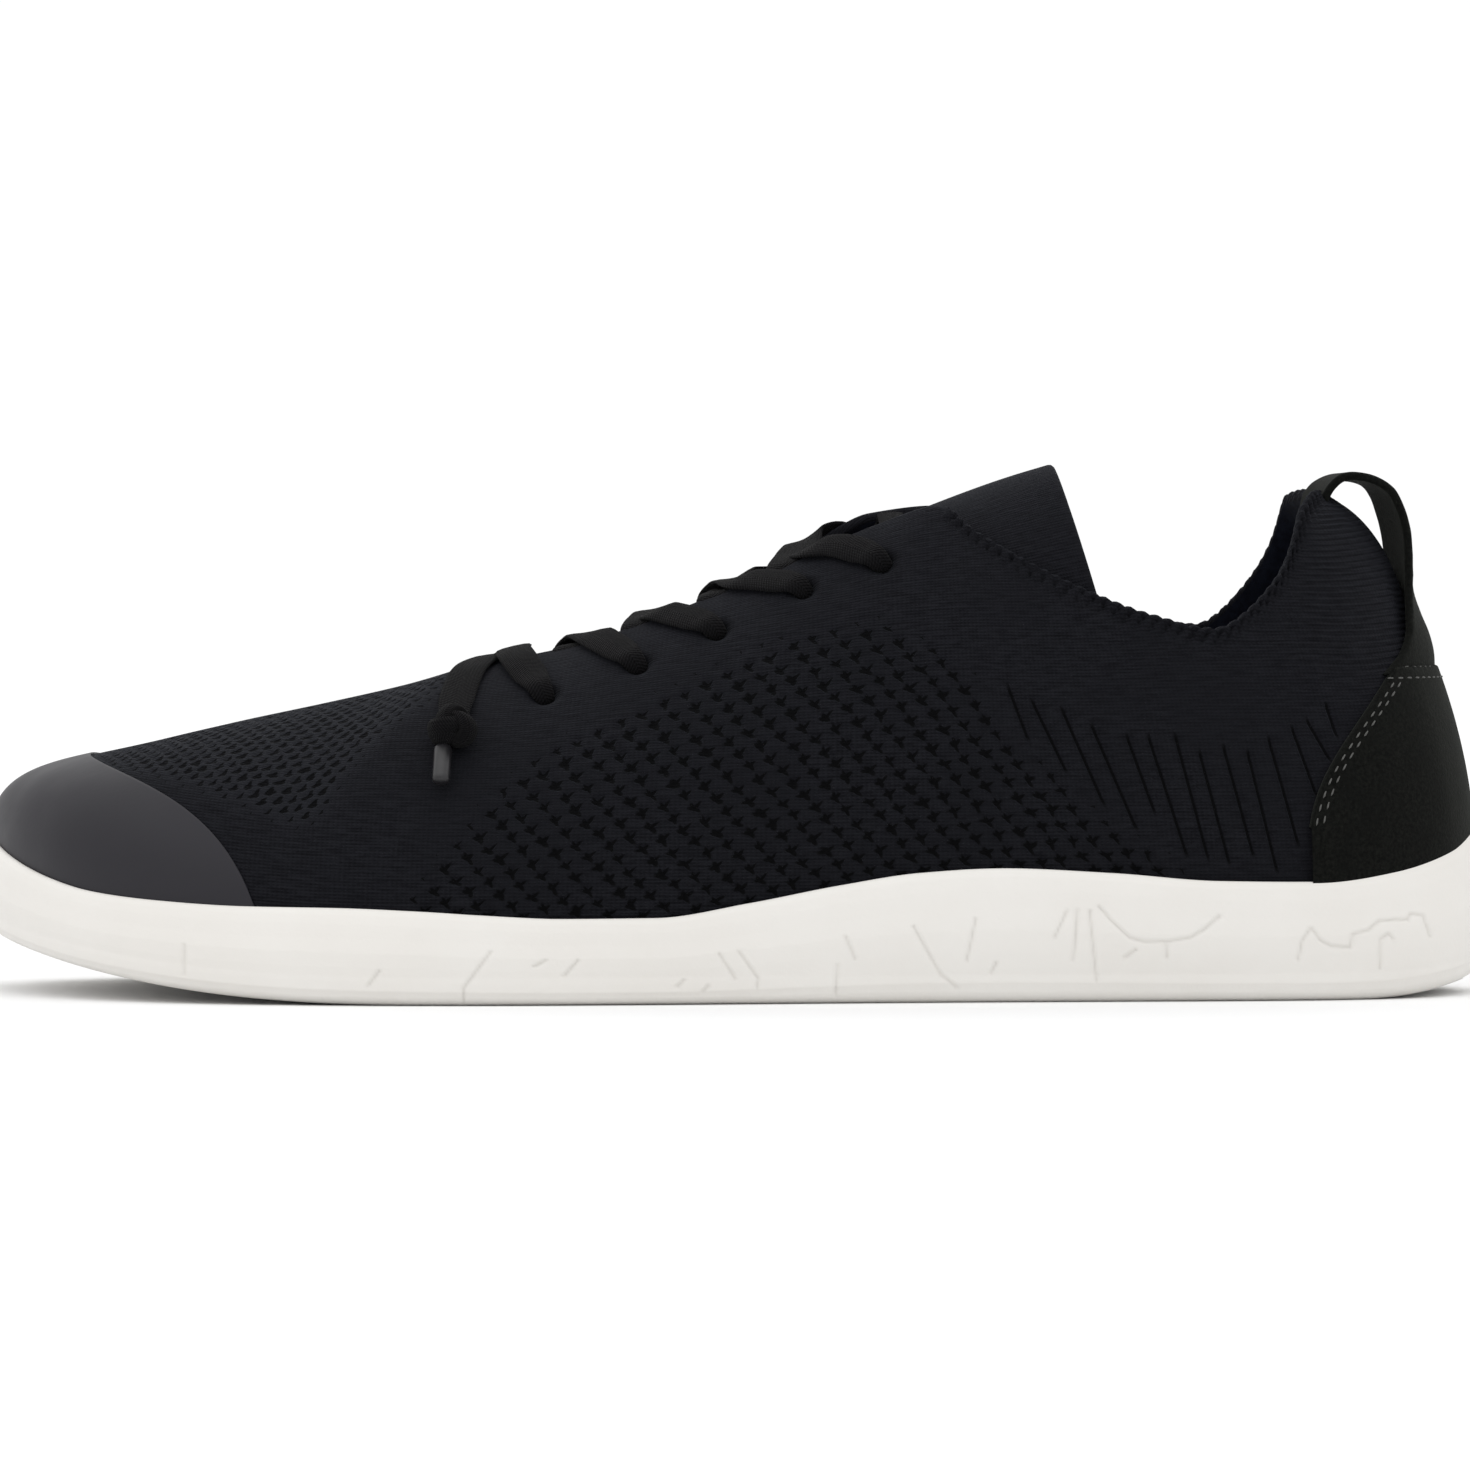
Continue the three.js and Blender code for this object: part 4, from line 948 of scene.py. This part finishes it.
def makeUpperShell():
    columns = loopColumns(upper["columnStep"])
    outerCount = upper["outerRows"]
    turn = np.linspace(0, math.pi, upper["rimRows"] + 1)[1:-1]
    half = shoe["wall"] / 2
    rim = slice(outerCount, outerCount + len(turn))
    v = np.concatenate([
        np.linspace(0, 1, outerCount), 1 + np.sin(turn) * half / shoe["instepHeight"],
        np.linspace(1, 0, upper["innerRows"]),
    ])
    lift = np.zeros(len(v))
    lift[rim] = -half * (1 - np.cos(turn))
    lift[rim.stop:] = -shoe["wall"]
    grid = lastPoint(columns[None, :], v[:, None], lift[:, None])
    u = surfaceMap(grid, columns)
    steps = np.linalg.norm(np.diff(grid, axis=0), axis=2)
    up = np.concatenate([np.zeros((1, len(columns))), np.cumsum(steps, axis=0)])
    down = np.abs(up[outerCount - 1] - up)
    x, z = grid[..., 0], grid[..., 2]
    isOuter = (np.arange(len(v)) < outerCount)[:, None] * np.ones(len(columns))
    sideMark, vampMark, ribMark = (
        outlineMark(x, z, zone) * isOuter for zone in (sideZone, vampZone, heelRibZone)
    )
    onToe = (x < upper["toeFrom"]) & (down < upper["toeDown"])
    byLength = (vampMark > sideMark) | (onToe & (sideMark == 0))
    lattice = np.where(byLength[..., None], np.stack([u, down], axis=-1), sideLattice(x, z))
    depth = upper["holeDepth"] * np.maximum(
        sideMark * holeDepth(lattice[..., 0], lattice[..., 1], holes["side"]),
        0.7 * vampMark * holeDepth(lattice[..., 0], lattice[..., 1], holes["vamp"]),
    )
    nearest, grooveSide = grooveMarks(x, z)
    depth = depth + upper["grooveDepth"] * np.exp(-((nearest / upper["grooveWidth"]) ** 2)) * isOuter
    grooveNear = np.clip(2.4 - nearest / upper["grooveReach"], 0, 1) * isOuter
    pit = eyeletPits(grid)
    depth = depth + upper["eyeletPit"] * pit * pit * isOuter
    ribSide = np.minimum(columns, loopLength - columns)
    bound = ribSide < upper["picotEnd"]
    # the collar's edge is bound with small slanted loops
    loops = np.abs(np.sin(math.pi * (u + upper["picotLean"] * down) / upper["picotPitch"]))
    nearRim = np.exp(-((down / upper["picotReach"]) ** 2)) * isOuter * bound
    depth = depth + upper["picotDepth"] * (1 - loops) * nearRim
    height = np.clip(v, 0, 1)[:, None]
    normal = faceNormal(np.broadcast_to(columns, x.shape), np.broadcast_to(height, x.shape))
    swell = np.sin(math.pi * np.clip((height - upper["swellFrom"]) / upper["swellSpan"], 0, 1)) ** 0.8
    swell = swell * np.exp(-((ribSide / upper["swellRows"]) ** 2))
    grid = grid + normal * (upper["heelSwell"] * swell - depth)[..., None]
    dip = np.clip((height - upper["dipFrom"]) / (1 - upper["dipFrom"]), 0, 1) ** 2
    grid[..., 2] -= upper["backDip"] * np.exp(-((ribSide / upper["dipRows"]) ** 2)) * dip
    onRim = np.zeros(x.shape)
    onRim[rim] = 1
    grid[..., 2] += loops * upper["picotHeight"] * np.maximum(nearRim, onRim) * bound
    # painted shade: eyelet pits and the hollows between the collar's loops, which the knit's finish darkens
    # nearly to black
    shadedHollows = np.maximum(pit * isOuter, 0.8 * nearRim * (1 - loops) ** 2)
    # close the shell underneath
    shut = [np.concatenate([value, value[:1]]) for value in (
        grid, np.stack([u, up], axis=-1), lattice,
        sideMark, vampMark, ribMark, shadedHollows, grooveSide * 1000, grooveNear,
    )]
    rimFaces = np.zeros((len(shut[0]) - 1, len(columns) - 1), bool)
    rimFaces[outerCount - 1 : rim.stop] = onVamp(columns[:-1]) & onVamp(columns[1:])
    lined = np.zeros(rimFaces.shape, bool)
    lined[rim.stop :] = True
    return gridPiece(
        "knit_upper_shell", shut[0], shut[1], dict(zip(knitMarks, shut[3:])), drop=rimFaces, flip=True,
        weld=2e-6, lattice=shut[2], second=lined,
    )


finishPiece(makeUpperShell(), knit, "black_knit", "upper", other=lining)
print("upper knitted")

# Rubber cup sole: side wall with engraved lines, and the tread under it
sole = {
    "columnStep": 0.00042,
    "innerStep": 0.0008,
    "wallRows": 58,
    "stepHeight": 0.05,  # share of each rib where the columns are spaced
    "lipOut": 0.04,
    "lineDepth": 0.00032,
    "lineWidth": 0.00026,
    "treadDepth": 0.0016,
    "treadGap": 0.0016,
    "treadRows": 430,
    "treadAcross": 48,
    "treadReach": 0.6,  # share of the ball's width
    "treadSweep": 3,  # grooves' sweep, in gaps
    "archFrom": 0.435,  # shares of the shoe's length
    "archTo": 0.32,
    "archSlope": 0.0032,
}
# Share of the wall's height, and how far out as a share of its thickness
wallProfile = np.array([
    (0.0, 0.2), (0.012, 0.42), (0.03, 0.6), (0.06, 0.76), (0.1, 0.86), (0.13, 0.88), (0.15, 0.95),
    (0.25, 0.965), (0.4, 0.932), (0.55, 0.86), (0.7, 0.696), (0.85, 0.57), (0.95, 0.456), (1.0, 0.34),
])
# Engraved lines on the side wall, each a list of x and z in millimetres
wallLines = [
    [(-100.5, 11), (-100.5, 5.5)],
    [(-64, 6.5), (-66, 3.8)],
    [(-43.5, 10), (-48.5, 3.4), (-48.5, 0.8)],
    [(-33.3, 8.5), (-35.5, 7.3)],
    [(-27.5, 8.4), (-30, 5.6)],
    [(-8, 4.7), (-9.3, 3.4)],
    [(-3.5, 3.6), (-4.6, 2.5)],
    [(-1.6, 9.5), (1.5, 4.7)],
    [(2, 9.9), (5.7, 4.7), (5.5, 3.2)],
    [(21.7, 12.6), (23.5, 8.4)],
    [(20.3, 7.3), (20, 2)],
    [(34.3, 14.3), (39.4, 5.3), (42.4, 3)],
    [(45.9, 15.7), (44.2, 8)],
    [(49.7, 7.5), (48.8, 5.6)],
    [(62.8, 17), (60.4, 12)],
    [(64.8, 17.2), (64, 8)],
    [(67, 17), (67.7, 9.9), (68.3, 4)],
    [(68.8, 17.8), (71, 15.2), (74.5, 12), (77.1, 11.3), (81.5, 11.3), (85.7, 12), (88, 13.3), (91.3, 16)],
    [(75.6, 9.9), (73.6, 8.4)],
    [(81.2, 11.3), (81.4, 8.4)],
    [
        (106, 7.8), (106.7, 11.3), (108.4, 13.7), (110.2, 11.3), (112.3, 10.2), (115.9, 10),
        (116.3, 12.4), (119.2, 13), (121.4, 14.8), (127, 15),
    ],
    [(127, 14.8), (127.5, 16), (130, 15.6), (131.4, 11.7)],
    [(121.6, 6), (121.6, 11.3), (123.3, 12.4), (124.2, 11.3)],
]
forefootGrooves = [0.68, 0.726, 0.766, 0.806, 0.846]
heelGrooves = [0.115, 0.165, 0.215, 0.265]


def wallRing(columns, rise, out):
    outward = outwardAt(columns)
    foot = lastPoint(columns, 0.0)
    ground = groundAt(foot[:, 0] + outward[:, 0] * shoe["soleWall"])
    z = ground + rise * (along("wallTop", columns) - ground)
    ribs = (sampledRib(at) for at in columns)
    inside = np.array([rowsAt(level, rib[:, 2], rib) for level, rib in zip(z, ribs)])
    inside = np.where((z < foot[:, 2])[:, None], foot, inside)
    point = inside + outward * (out * shoe["soleWall"])
    point[:, 2] = z
    return point


def makeSoleWall():
    columns = loopColumns(sole["columnStep"], sole["stepHeight"], sole["innerStep"])
    rises = np.concatenate([[0, 0.012, 0.03, 0.06, 0.1], np.linspace(0.13, 1, sole["wallRows"])])
    outs = np.interp(rises, wallProfile[:, 0], wallProfile[:, 1])
    grid = np.stack([wallRing(columns, rise, out) for rise, out in zip(rises, outs)])
    x, z = grid[..., 0], grid[..., 2]
    line = np.zeros(x.shape)
    for route in wallLines:
        for (ax, az), (bx, bz) in zip(route, route[1:]):
            distance = segmentDistance(x, z, ax * 1e-3, az * 1e-3, bx * 1e-3, bz * 1e-3)
            line = np.maximum(line, np.exp(-((distance / sole["lineWidth"]) ** 2)))
    grid = grid - outwardAt(columns)[None] * (line * sole["lineDepth"])[..., None]
    # the lip rolls in to the knit and goes down behind it
    knitSide = wallRing(columns, 1.0, sole["lipOut"])
    lips = [
        mix(grid[-1], knitSide, t) + np.array((0, 0, rise))
        for t, rise in ((0.3, 0.00022), (0.65, 0.0002), (1, -0.0001), (1, -0.003))
    ]
    grid = np.concatenate([grid, np.stack(lips)])
    line = np.concatenate([line, np.zeros((len(lips), len(columns)))])
    return gridPiece("sole_side_wall", grid, marks={"engravedShade": line}, flip=True, weld=2e-6)


def treadDrop(x, y):
    gap, deep = sole["treadGap"], sole["treadDepth"]
    reach = sole["treadReach"] * shoe["ballWidth"]
    bends = np.abs(np.abs(y) / (reach / 2) - 1) * sole["treadSweep"] * gap
    depth = np.zeros(x.shape)
    for share in forefootGrooves + heelGrooves:
        start = shoe["length"] * (0.5 - share) + bends
        depth = np.maximum(depth, ((x >= start) & (x <= start + gap)) * deep)
    archFrom, archTo = (shoe["length"] * (0.5 - sole[end]) for end in ("archFrom", "archTo"))
    hollow = np.clip(np.minimum(x - archFrom, archTo - x) / sole["archSlope"], 0, 1) * deep
    return np.maximum(depth, hollow)


def makeTread():
    rows = np.linspace(0, lastRow, sole["treadRows"])
    outer, inner = (wallRing(at, 0.0, 0.2) for at in (rows, loopLength - rows))
    shares = np.linspace(0, 1, sole["treadAcross"])
    grid = outer[:, None] + (inner - outer)[:, None] * shares[None, :, None]
    ground = groundAt(grid[..., 0])
    near = (outer[:, 2] - ground[:, 0])[:, None] * (1 - shares) ** 8
    far = (inner[:, 2] - ground[:, -1])[:, None] * shares**8
    edge = np.minimum(shares, 1 - shares) > 0.5 / sole["treadAcross"]
    grid[..., 2] = ground + near + far + treadDrop(grid[..., 0], grid[..., 1]) * edge
    return gridPiece("sole_tread", grid, marks={"engravedShade": np.zeros(grid.shape[:2])}, flip=True)


finishPiece(makeSoleWall(), rubber, "white_rubber", "sole")
finishPiece(makeTread(), rubber, "white_rubber")
print("sole moulded")

# Insole: a cupped sheet inside the upper
insole = {"thickness": 0.0035, "cup": 0.0016, "columns": 362, "spine": 0.94}
# Share of the outline, and share of the rim's height
insoleProfile = [
    (0.985, 0.0), (1.0, 0.4), (0.998, 0.8), (0.985, 1.0), (0.965, 0.99), (0.9, 0.86), (0.78, 0.73),
    (0.6, 0.69), (0.3, 0.68), (0.0, 0.68),
]


def makeInsole():
    at = np.linspace(0, loopLength, insole["columns"])
    edge = lastPoint(at, 0.0) - outwardAt(at) * (shoe["wall"] + shoe["gap"])
    middle = stacked(edge[:, 0] * insole["spine"], along("ridge", at), 0)
    rim = insole["thickness"] + insole["cup"]
    rings = []
    for share, height in insoleProfile:
        ring = mix(middle, edge, share)
        ring[:, 2] = groundAt(ring[:, 0]) + shoe["soleFloor"] + shoe["gap"] + height * rim
        rings.append(ring)
    return gridPiece("insole_sheet", np.stack(rings), flip=True, weld=2e-6)


finishPiece(makeInsole(), lining, "lining", "footbed")

# Tongue: a folded knit sheet with a soft rounded edge
tongue = {
    "thickness": 0.0026,
    "spread": 84.0,  # degrees to each side
    "slant": 0.28,
    "rows": 120,
    "across": 90,
    "reach": 0.986,
    "smoothing": 15,
}


def tonguePoints(shares, angles, lift):
    table = rowsAt(shares, np.linspace(0, 1, len(tongueTable)), tongueTable)
    kernel = np.ones(tongue["smoothing"]) / tongue["smoothing"]
    side = tongue["smoothing"] // 2
    at, height, half, sag = (
        np.convolve(np.pad(column, side, mode="reflect", reflect_type="odd"), kernel, mode="valid")[:, None]
        for column in table.T
    )
    half, sag, height = half * lastWidth, sag * shoe["instepHeight"], height * shoe["instepHeight"]
    z = height - sag * (1 - np.cos(angles))
    x = lastLength * (0.5 - at) + tongue["slant"] * (height - z)
    y = half * np.sin(angles)
    normal = unit(stacked(0 * y, np.sin(angles) * sag, np.cos(angles) * half))
    return stacked(x, y, z) + normal * lift


def makeTonguePiece():
    spread = math.radians(tongue["spread"])
    shares = np.linspace(0, tongue["reach"], tongue["rows"])
    angles = np.linspace(-spread, spread, tongue["across"])
    thick = tongue["thickness"]
    turn = np.linspace(0, math.pi, 7)
    outer, inner = (tonguePoints(shares, angles, lift) for lift in (0.0, -thick))
    middle, half = (outer + inner) / 2, (outer - inner) / 2
    end = unit(middle[-1] - middle[-4])
    roll = [middle[-1] + half[-1] * np.cos(a) + end * np.sin(a) * thick / 2 for a in turn[1:-1]]
    grid = np.concatenate([outer, np.stack(roll), inner[::-1], outer[:1]])
    arc = np.linspace(0, 0.13, len(outer))
    backArc = np.concatenate([arc, np.full(len(roll), arc[-1]), arc[::-1], arc[:1]])
    uv = np.stack(np.broadcast_arrays(backArc[:, None], angles[None] * 0.03), axis=-1)
    marks = {name: np.zeros(grid.shape[:2]) for name in knitMarks}
    return gridPiece("tongue_sheet", grid, uv, marks, flip=True, weld=2e-6, lattice=uv)


finishPiece(makeTonguePiece(), knit, "black_knit", "tongue")
print("tongue and insole made")

# Toe cap and heel counter: thin forms over the knit, up to an outline in x and z
overlays = {
    "capThickness": 0.00035,
    "capReach": 0.058,
    "capFoot": 0.0022,  # how much further back its edge is at the ground
    "capRib": 14.2,  # rows of the last where it ends
    "capGrid": (321, 64),
    "counterThickness": 0.0015,
    "counterHeight": 0.061,
    "counterReach": 0.036,
    "counterRib": 4.2,
    "counterGrid": (261, 72),
    "ribLength": 0.09,
    "shortest": 0.004,  # columns that reach less are left out
    "lift": 0.3,  # share of the gap
}


def bezier(points, count=80):
    t = np.linspace(0, 1, count)[:, None]
    a, b, c, d = points
    return a * (1 - t) ** 3 + b * 3 * t * (1 - t) ** 2 + c * 3 * t * t * (1 - t) + d * t**3


# An overlay's edge in x and z, from its front: shares of its reach and of a height
def edgeCurve(front, reach, height, handles):
    curve = bezier([np.array((front + a * reach, b * height)) for a, b in handles])
    return np.vstack([(curve[0, 0], 0.0), curve])


capCurve = edgeCurve(
    overlays["capReach"] - shoe["length"] / 2, overlays["capReach"], shoe["instepHeight"],
    ((overlays["capFoot"] / overlays["capReach"], 0.0), (-0.01, 0.38), (-0.33, 0.42), (-0.69, 0.5)),
)
counterFront = shoe["length"] / 2 - overlays["counterReach"]
counterCurve = edgeCurve(
    counterFront, overlays["counterReach"], overlays["counterHeight"],
    ((0.0, 0.33), (-0.04, 0.66), (0.15, 0.72), (0.47, 1.0)),
)


# How far up its rib each column reaches before it meets the outline
def reachUp(at, curve, towards, topZ=1.0, inset=0.0):
    points = sampledRib(at)
    edge = np.interp(points[:, 2], curve[:, 1], curve[:, 0]) - towards * inset
    outside = (points[:, 0] - edge) * towards
    outside = np.where(points[:, 2] > topZ, np.maximum(outside, points[:, 2] - topZ), outside)
    over = np.flatnonzero(outside > 0)
    if not len(over):
        return 1.0
    k = over[0]
    if k == 0:
        return 0.0
    t = outside[k - 1] / (outside[k - 1] - outside[k])
    return float(mix(ribSamples[k - 1], ribSamples[k], t))


def overlayPiece(name, span, grid, thickness, curve, towards, topZ=1.0):
    columns = np.linspace(*span, grid[0])
    reach = np.array([reachUp(at, curve, towards, topZ) for at in columns])
    kept = reach > overlays["shortest"]
    columns, reach, rows = columns[kept], reach[kept], grid[1]
    base = shoe["gap"] * overlays["lift"]
    top = base + thickness
    v = [reach * share for share in np.linspace(0, 1, rows)]
    lift = [top] * rows
    for angle in np.linspace(0, math.pi / 2, 5)[1:]:
        v.append(reach + 0.5 * thickness * np.sin(angle) / overlays["ribLength"])
        lift.append(mix(base, top, np.cos(angle)))
    v = np.minimum(np.array(v + [reach * 0.985]), 1.0)
    lift.append(-2 * base)
    return gridPiece(name, lastPoint(columns[None], v, np.array(lift)[:, None]), flip=True, weld=1e-7)


capPiece = overlayPiece(
    "toe_cap_film", (overlays["capRib"], loopLength - overlays["capRib"]), overlays["capGrid"],
    overlays["capThickness"], capCurve, 1,
)
finishPiece(capPiece, film, "toe_film", "toe_cap")
counterPiece = overlayPiece(
    "heel_counter_suede", (-overlays["counterRib"], overlays["counterRib"]), overlays["counterGrid"],
    overlays["counterThickness"], counterCurve, -1, overlays["counterHeight"],
)
finishPiece(counterPiece, suede, "suede", "heel_counter")

# Pull loop: a strap over the back of the collar that flares to meet the counter
strap = {"thickness": 0.0016, "rows": 170, "across": 33, "cup": 0.03, "outlineHalf": 0.022}
# Its middle line: x, z, half its width, how far its sides turn, and share of the heel's own curve
strapPath = np.array([
    (0.1117, 0.088, 0.0078, 0.001, 0),
    (0.1119, 0.0925, 0.0078, 0.0012, 0),
    (0.1125, 0.0946, 0.0078, 0.0013, 0),
    (0.1139, 0.0965, 0.0078, 0.0012, 0),
    (0.1163, 0.0979, 0.0078, 0.0007, 0),
    (0.1193, 0.0981, 0.0078, 0.0003, 0),
    (0.1226, 0.0972, 0.0078, 0.0006, 0),
    (0.1249, 0.0952, 0.0079, 0.0012, 0),
    (0.1266, 0.0914, 0.008, 0.0014, 0),
    (0.1276, 0.0876, 0.0081, 0.0014, 0),
    (0.1282, 0.0833, 0.0084, 0.0013, 0.05),
    (0.1288, 0.0794, 0.009, 0.0011, 0.15),
    (0.1299, 0.0756, 0.01, 0.0007, 0.4),
    (0.1315, 0.0717, 0.0116, 0.0003, 0.7),
    (0.133, 0.0682, 0.0138, 0, 0.9),
    (0.1339, 0.0647, 0.0168, 0, 1),
    (0.1341, 0.0606, 0.0215, 0, 1),
])
# The heel's outline beside its middle, at a few heights
strapShares = np.linspace(-1, 1, strap["across"])
outlineHeights = np.linspace(0.058, 0.086, 8)
outlineSteps = strapShares * strap["outlineHalf"]
outlines = []
for z in outlineHeights:
    points = np.array([lastPoint(at, heightOnRib(at, z), shoe["gap"]) for at in np.linspace(-5, 5, 41)])
    x, y, _ = points[np.argsort(points[:, 1])].T
    outlines.append(np.interp(outlineSteps, y, x) - np.interp(0, y, x))


def makeStrap():
    half = strap["thickness"] / 2
    centres = stacked(strapPath[:, 0], 0, strapPath[:, 1])
    line, _, (rest,) = smoothRoute(centres, strap["rows"], strapPath[:, 2:])
    middle = np.zeros((len(line), strap["across"], 3))
    for k, (point, (wide, turn, wrap)) in enumerate(zip(line, rest)):
        y = strapShares * wide
        bend = -strap["cup"] * y * y / wide - turn * strapShares
        outline = rowsAt(point[2], outlineHeights, outlines)
        bend = mix(bend, np.interp(y, outlineSteps, outline), wrap)
        middle[k] = stacked(point[0] + bend, y, point[2])
    across = np.gradient(middle, axis=1)
    out = unit(np.cross(across, np.gradient(middle, axis=0)))
    out *= np.sign(out[len(out) // 2, strap["across"] // 2, 0])
    edge = unit(across)
    turn = np.linspace(0, math.pi, 7)[1:-1]
    face = middle + out * half
    rolls = [out * (half * math.cos(a)) + edge * (half * math.sin(a)) for a in turn]
    grid = np.concatenate(
        [face] + [(middle + roll)[:, -1:] for roll in rolls] + [(middle - out * half)[:, ::-1]]
        + [(middle - roll)[:, :1] for roll in rolls] + [face[:, :1]],
        axis=1,
    )
    flat = np.concatenate([
        middle, np.repeat(middle[:, -1:], len(turn), 1), middle[:, ::-1],
        np.repeat(middle[:, :1], len(turn) + 1, 1),
    ], axis=1)
    grid = np.concatenate([flat[:1], grid, flat[-1:]])
    return gridPiece("pull_loop_strap", grid, flip=True), face, out


strapPiece, strapFace, strapOut = makeStrap()
finishPiece(strapPiece, suede, "suede", "pull_loop")
print("overlays and strap made")

# Stitches: short threads laid along a line
stitch = {"length": 0.0018, "gap": 0.0009, "width": 0.0004, "lift": 0.00008, "overlap": 0.52, "sag": 0.00025}


def stitchLine(name, line, faces):
    gone = runLengths(line)
    bm = bmesh.new()
    for start in np.arange(stitch["gap"], gone[-1] - stitch["length"], stitch["length"] + stitch["gap"]):
        first, last = (rowsAt(s, gone, line) for s in (start, start + stitch["length"]))
        middle, run = (first + last) / 2, unit(last - first)
        face = rowsAt(start, gone, faces)
        face = unit(face - run * np.dot(face, run))
        across = np.cross(face, run)
        for vert in bmesh.ops.create_icosphere(bm, subdivisions=1, radius=1.0)["verts"]:
            x, y, z = vert.co
            place = middle + run * x * stitch["length"] * stitch["overlap"]
            place = place + (across * y + face * z) * stitch["width"] / 2
            vert.co = place + face * (stitch["lift"] - stitch["sag"] * x * x)
    return finishPiece(smoothObject(bm, bpy.data.meshes.new(name)), thread, "suede")


# Where the rows of stitches lie: in from the counter's edge, and from its top
seams = {
    "insets": (0.0007, 0.002),
    "ribs": (0.6, 4.4, 190),
    "topRibs": (-3, 3, 121),
    "end": 0.0008,
    "top": 0.0011,
    "counterTop": 0.0015,
    "strap": 0.0011,
    "clear": 0.4,  # share of the counter's reach that its top row keeps off
}
onCounter = shoe["gap"] * overlays["lift"] + overlays["counterThickness"]


def counterStitches(name, side, inset):
    line, faces = [], []
    for at in np.linspace(*seams["ribs"]) * -side:
        v = reachUp(at, counterCurve, -1, overlays["counterHeight"] - seams["end"], inset)
        point = lastPoint(at, v, onCounter)
        if 0 < v < 1 and along("wallTop", at) < point[2] < overlays["counterHeight"] - seams["top"]:
            line.append(point)
            faces.append(faceNormal(at, v))
    stitchLine(name, np.array(line), np.array(faces))


for side, sideName in ((-1, "outer"), (1, "inner")):
    for number, inset in enumerate(seams["insets"], start=1):
        counterStitches(f"counter_stitches_{sideName}_{number}", side, inset)
strapHeights = strapFace[:, strapFace.shape[1] // 2, 2]
seamRow = int(np.argmin(np.abs(strapHeights - overlays["counterHeight"] - seams["strap"])))
stitchLine("strap_stitches", strapFace[seamRow, 1:-1], strapOut[seamRow, 1:-1])
seamAts = np.linspace(*seams["topRibs"])
seamV = np.array([heightOnRib(at, overlays["counterHeight"] - seams["counterTop"]) for at in seamAts])
seamPoints = lastPoint(seamAts, seamV, onCounter)
kept = seamPoints[:, 0] > counterFront + seams["clear"] * overlays["counterReach"]
stitchLine("counter_top_stitches", seamPoints[kept], faceNormal(seamAts[kept], seamV[kept]))
print("stitches sewn")

# Floor, light and surroundings
floorHalf = 3.0
floor = gridPiece("floor", np.array([
    [(x * floorHalf, y * floorHalf, 0.0) for x in (-1, 1)] for y in (-1, 1)
]))
floorFinish, _ = newFinish("paleFloor", 1.0, 0.0)
floor.data.materials.append(paint(floorFinish, (0.88, 0.88, 0.88)))


def softLight(name, place, aim, strength):
    data = bpy.data.lights.new(name, "SUN")
    data.energy = strength
    data.angle = math.radians(70)  # a wide, soft source
    lamp = newObject(name, data)
    lamp.location = place
    lamp.rotation_euler = (Vector(aim) - Vector(place)).to_track_quat("-Z", "Y").to_euler()


softLight("keyLight", (-0.3, -0.5, 1.3), (0, 0, 0.04), 0.55)
softLight("backLight", (0.2, 0.6, 1.2), (0, 0, 0.05), 0.3)
world = bpy.data.worlds.new("surroundings")
world.use_nodes = True
background = world.node_tree.nodes["Background"]
feed(background.inputs["Color"], (1.0, 1.0, 1.0))
feed(background.inputs["Strength"], 1.02)  # a pale dome of light all round
bpy.context.scene.world = world
print("stage lit")
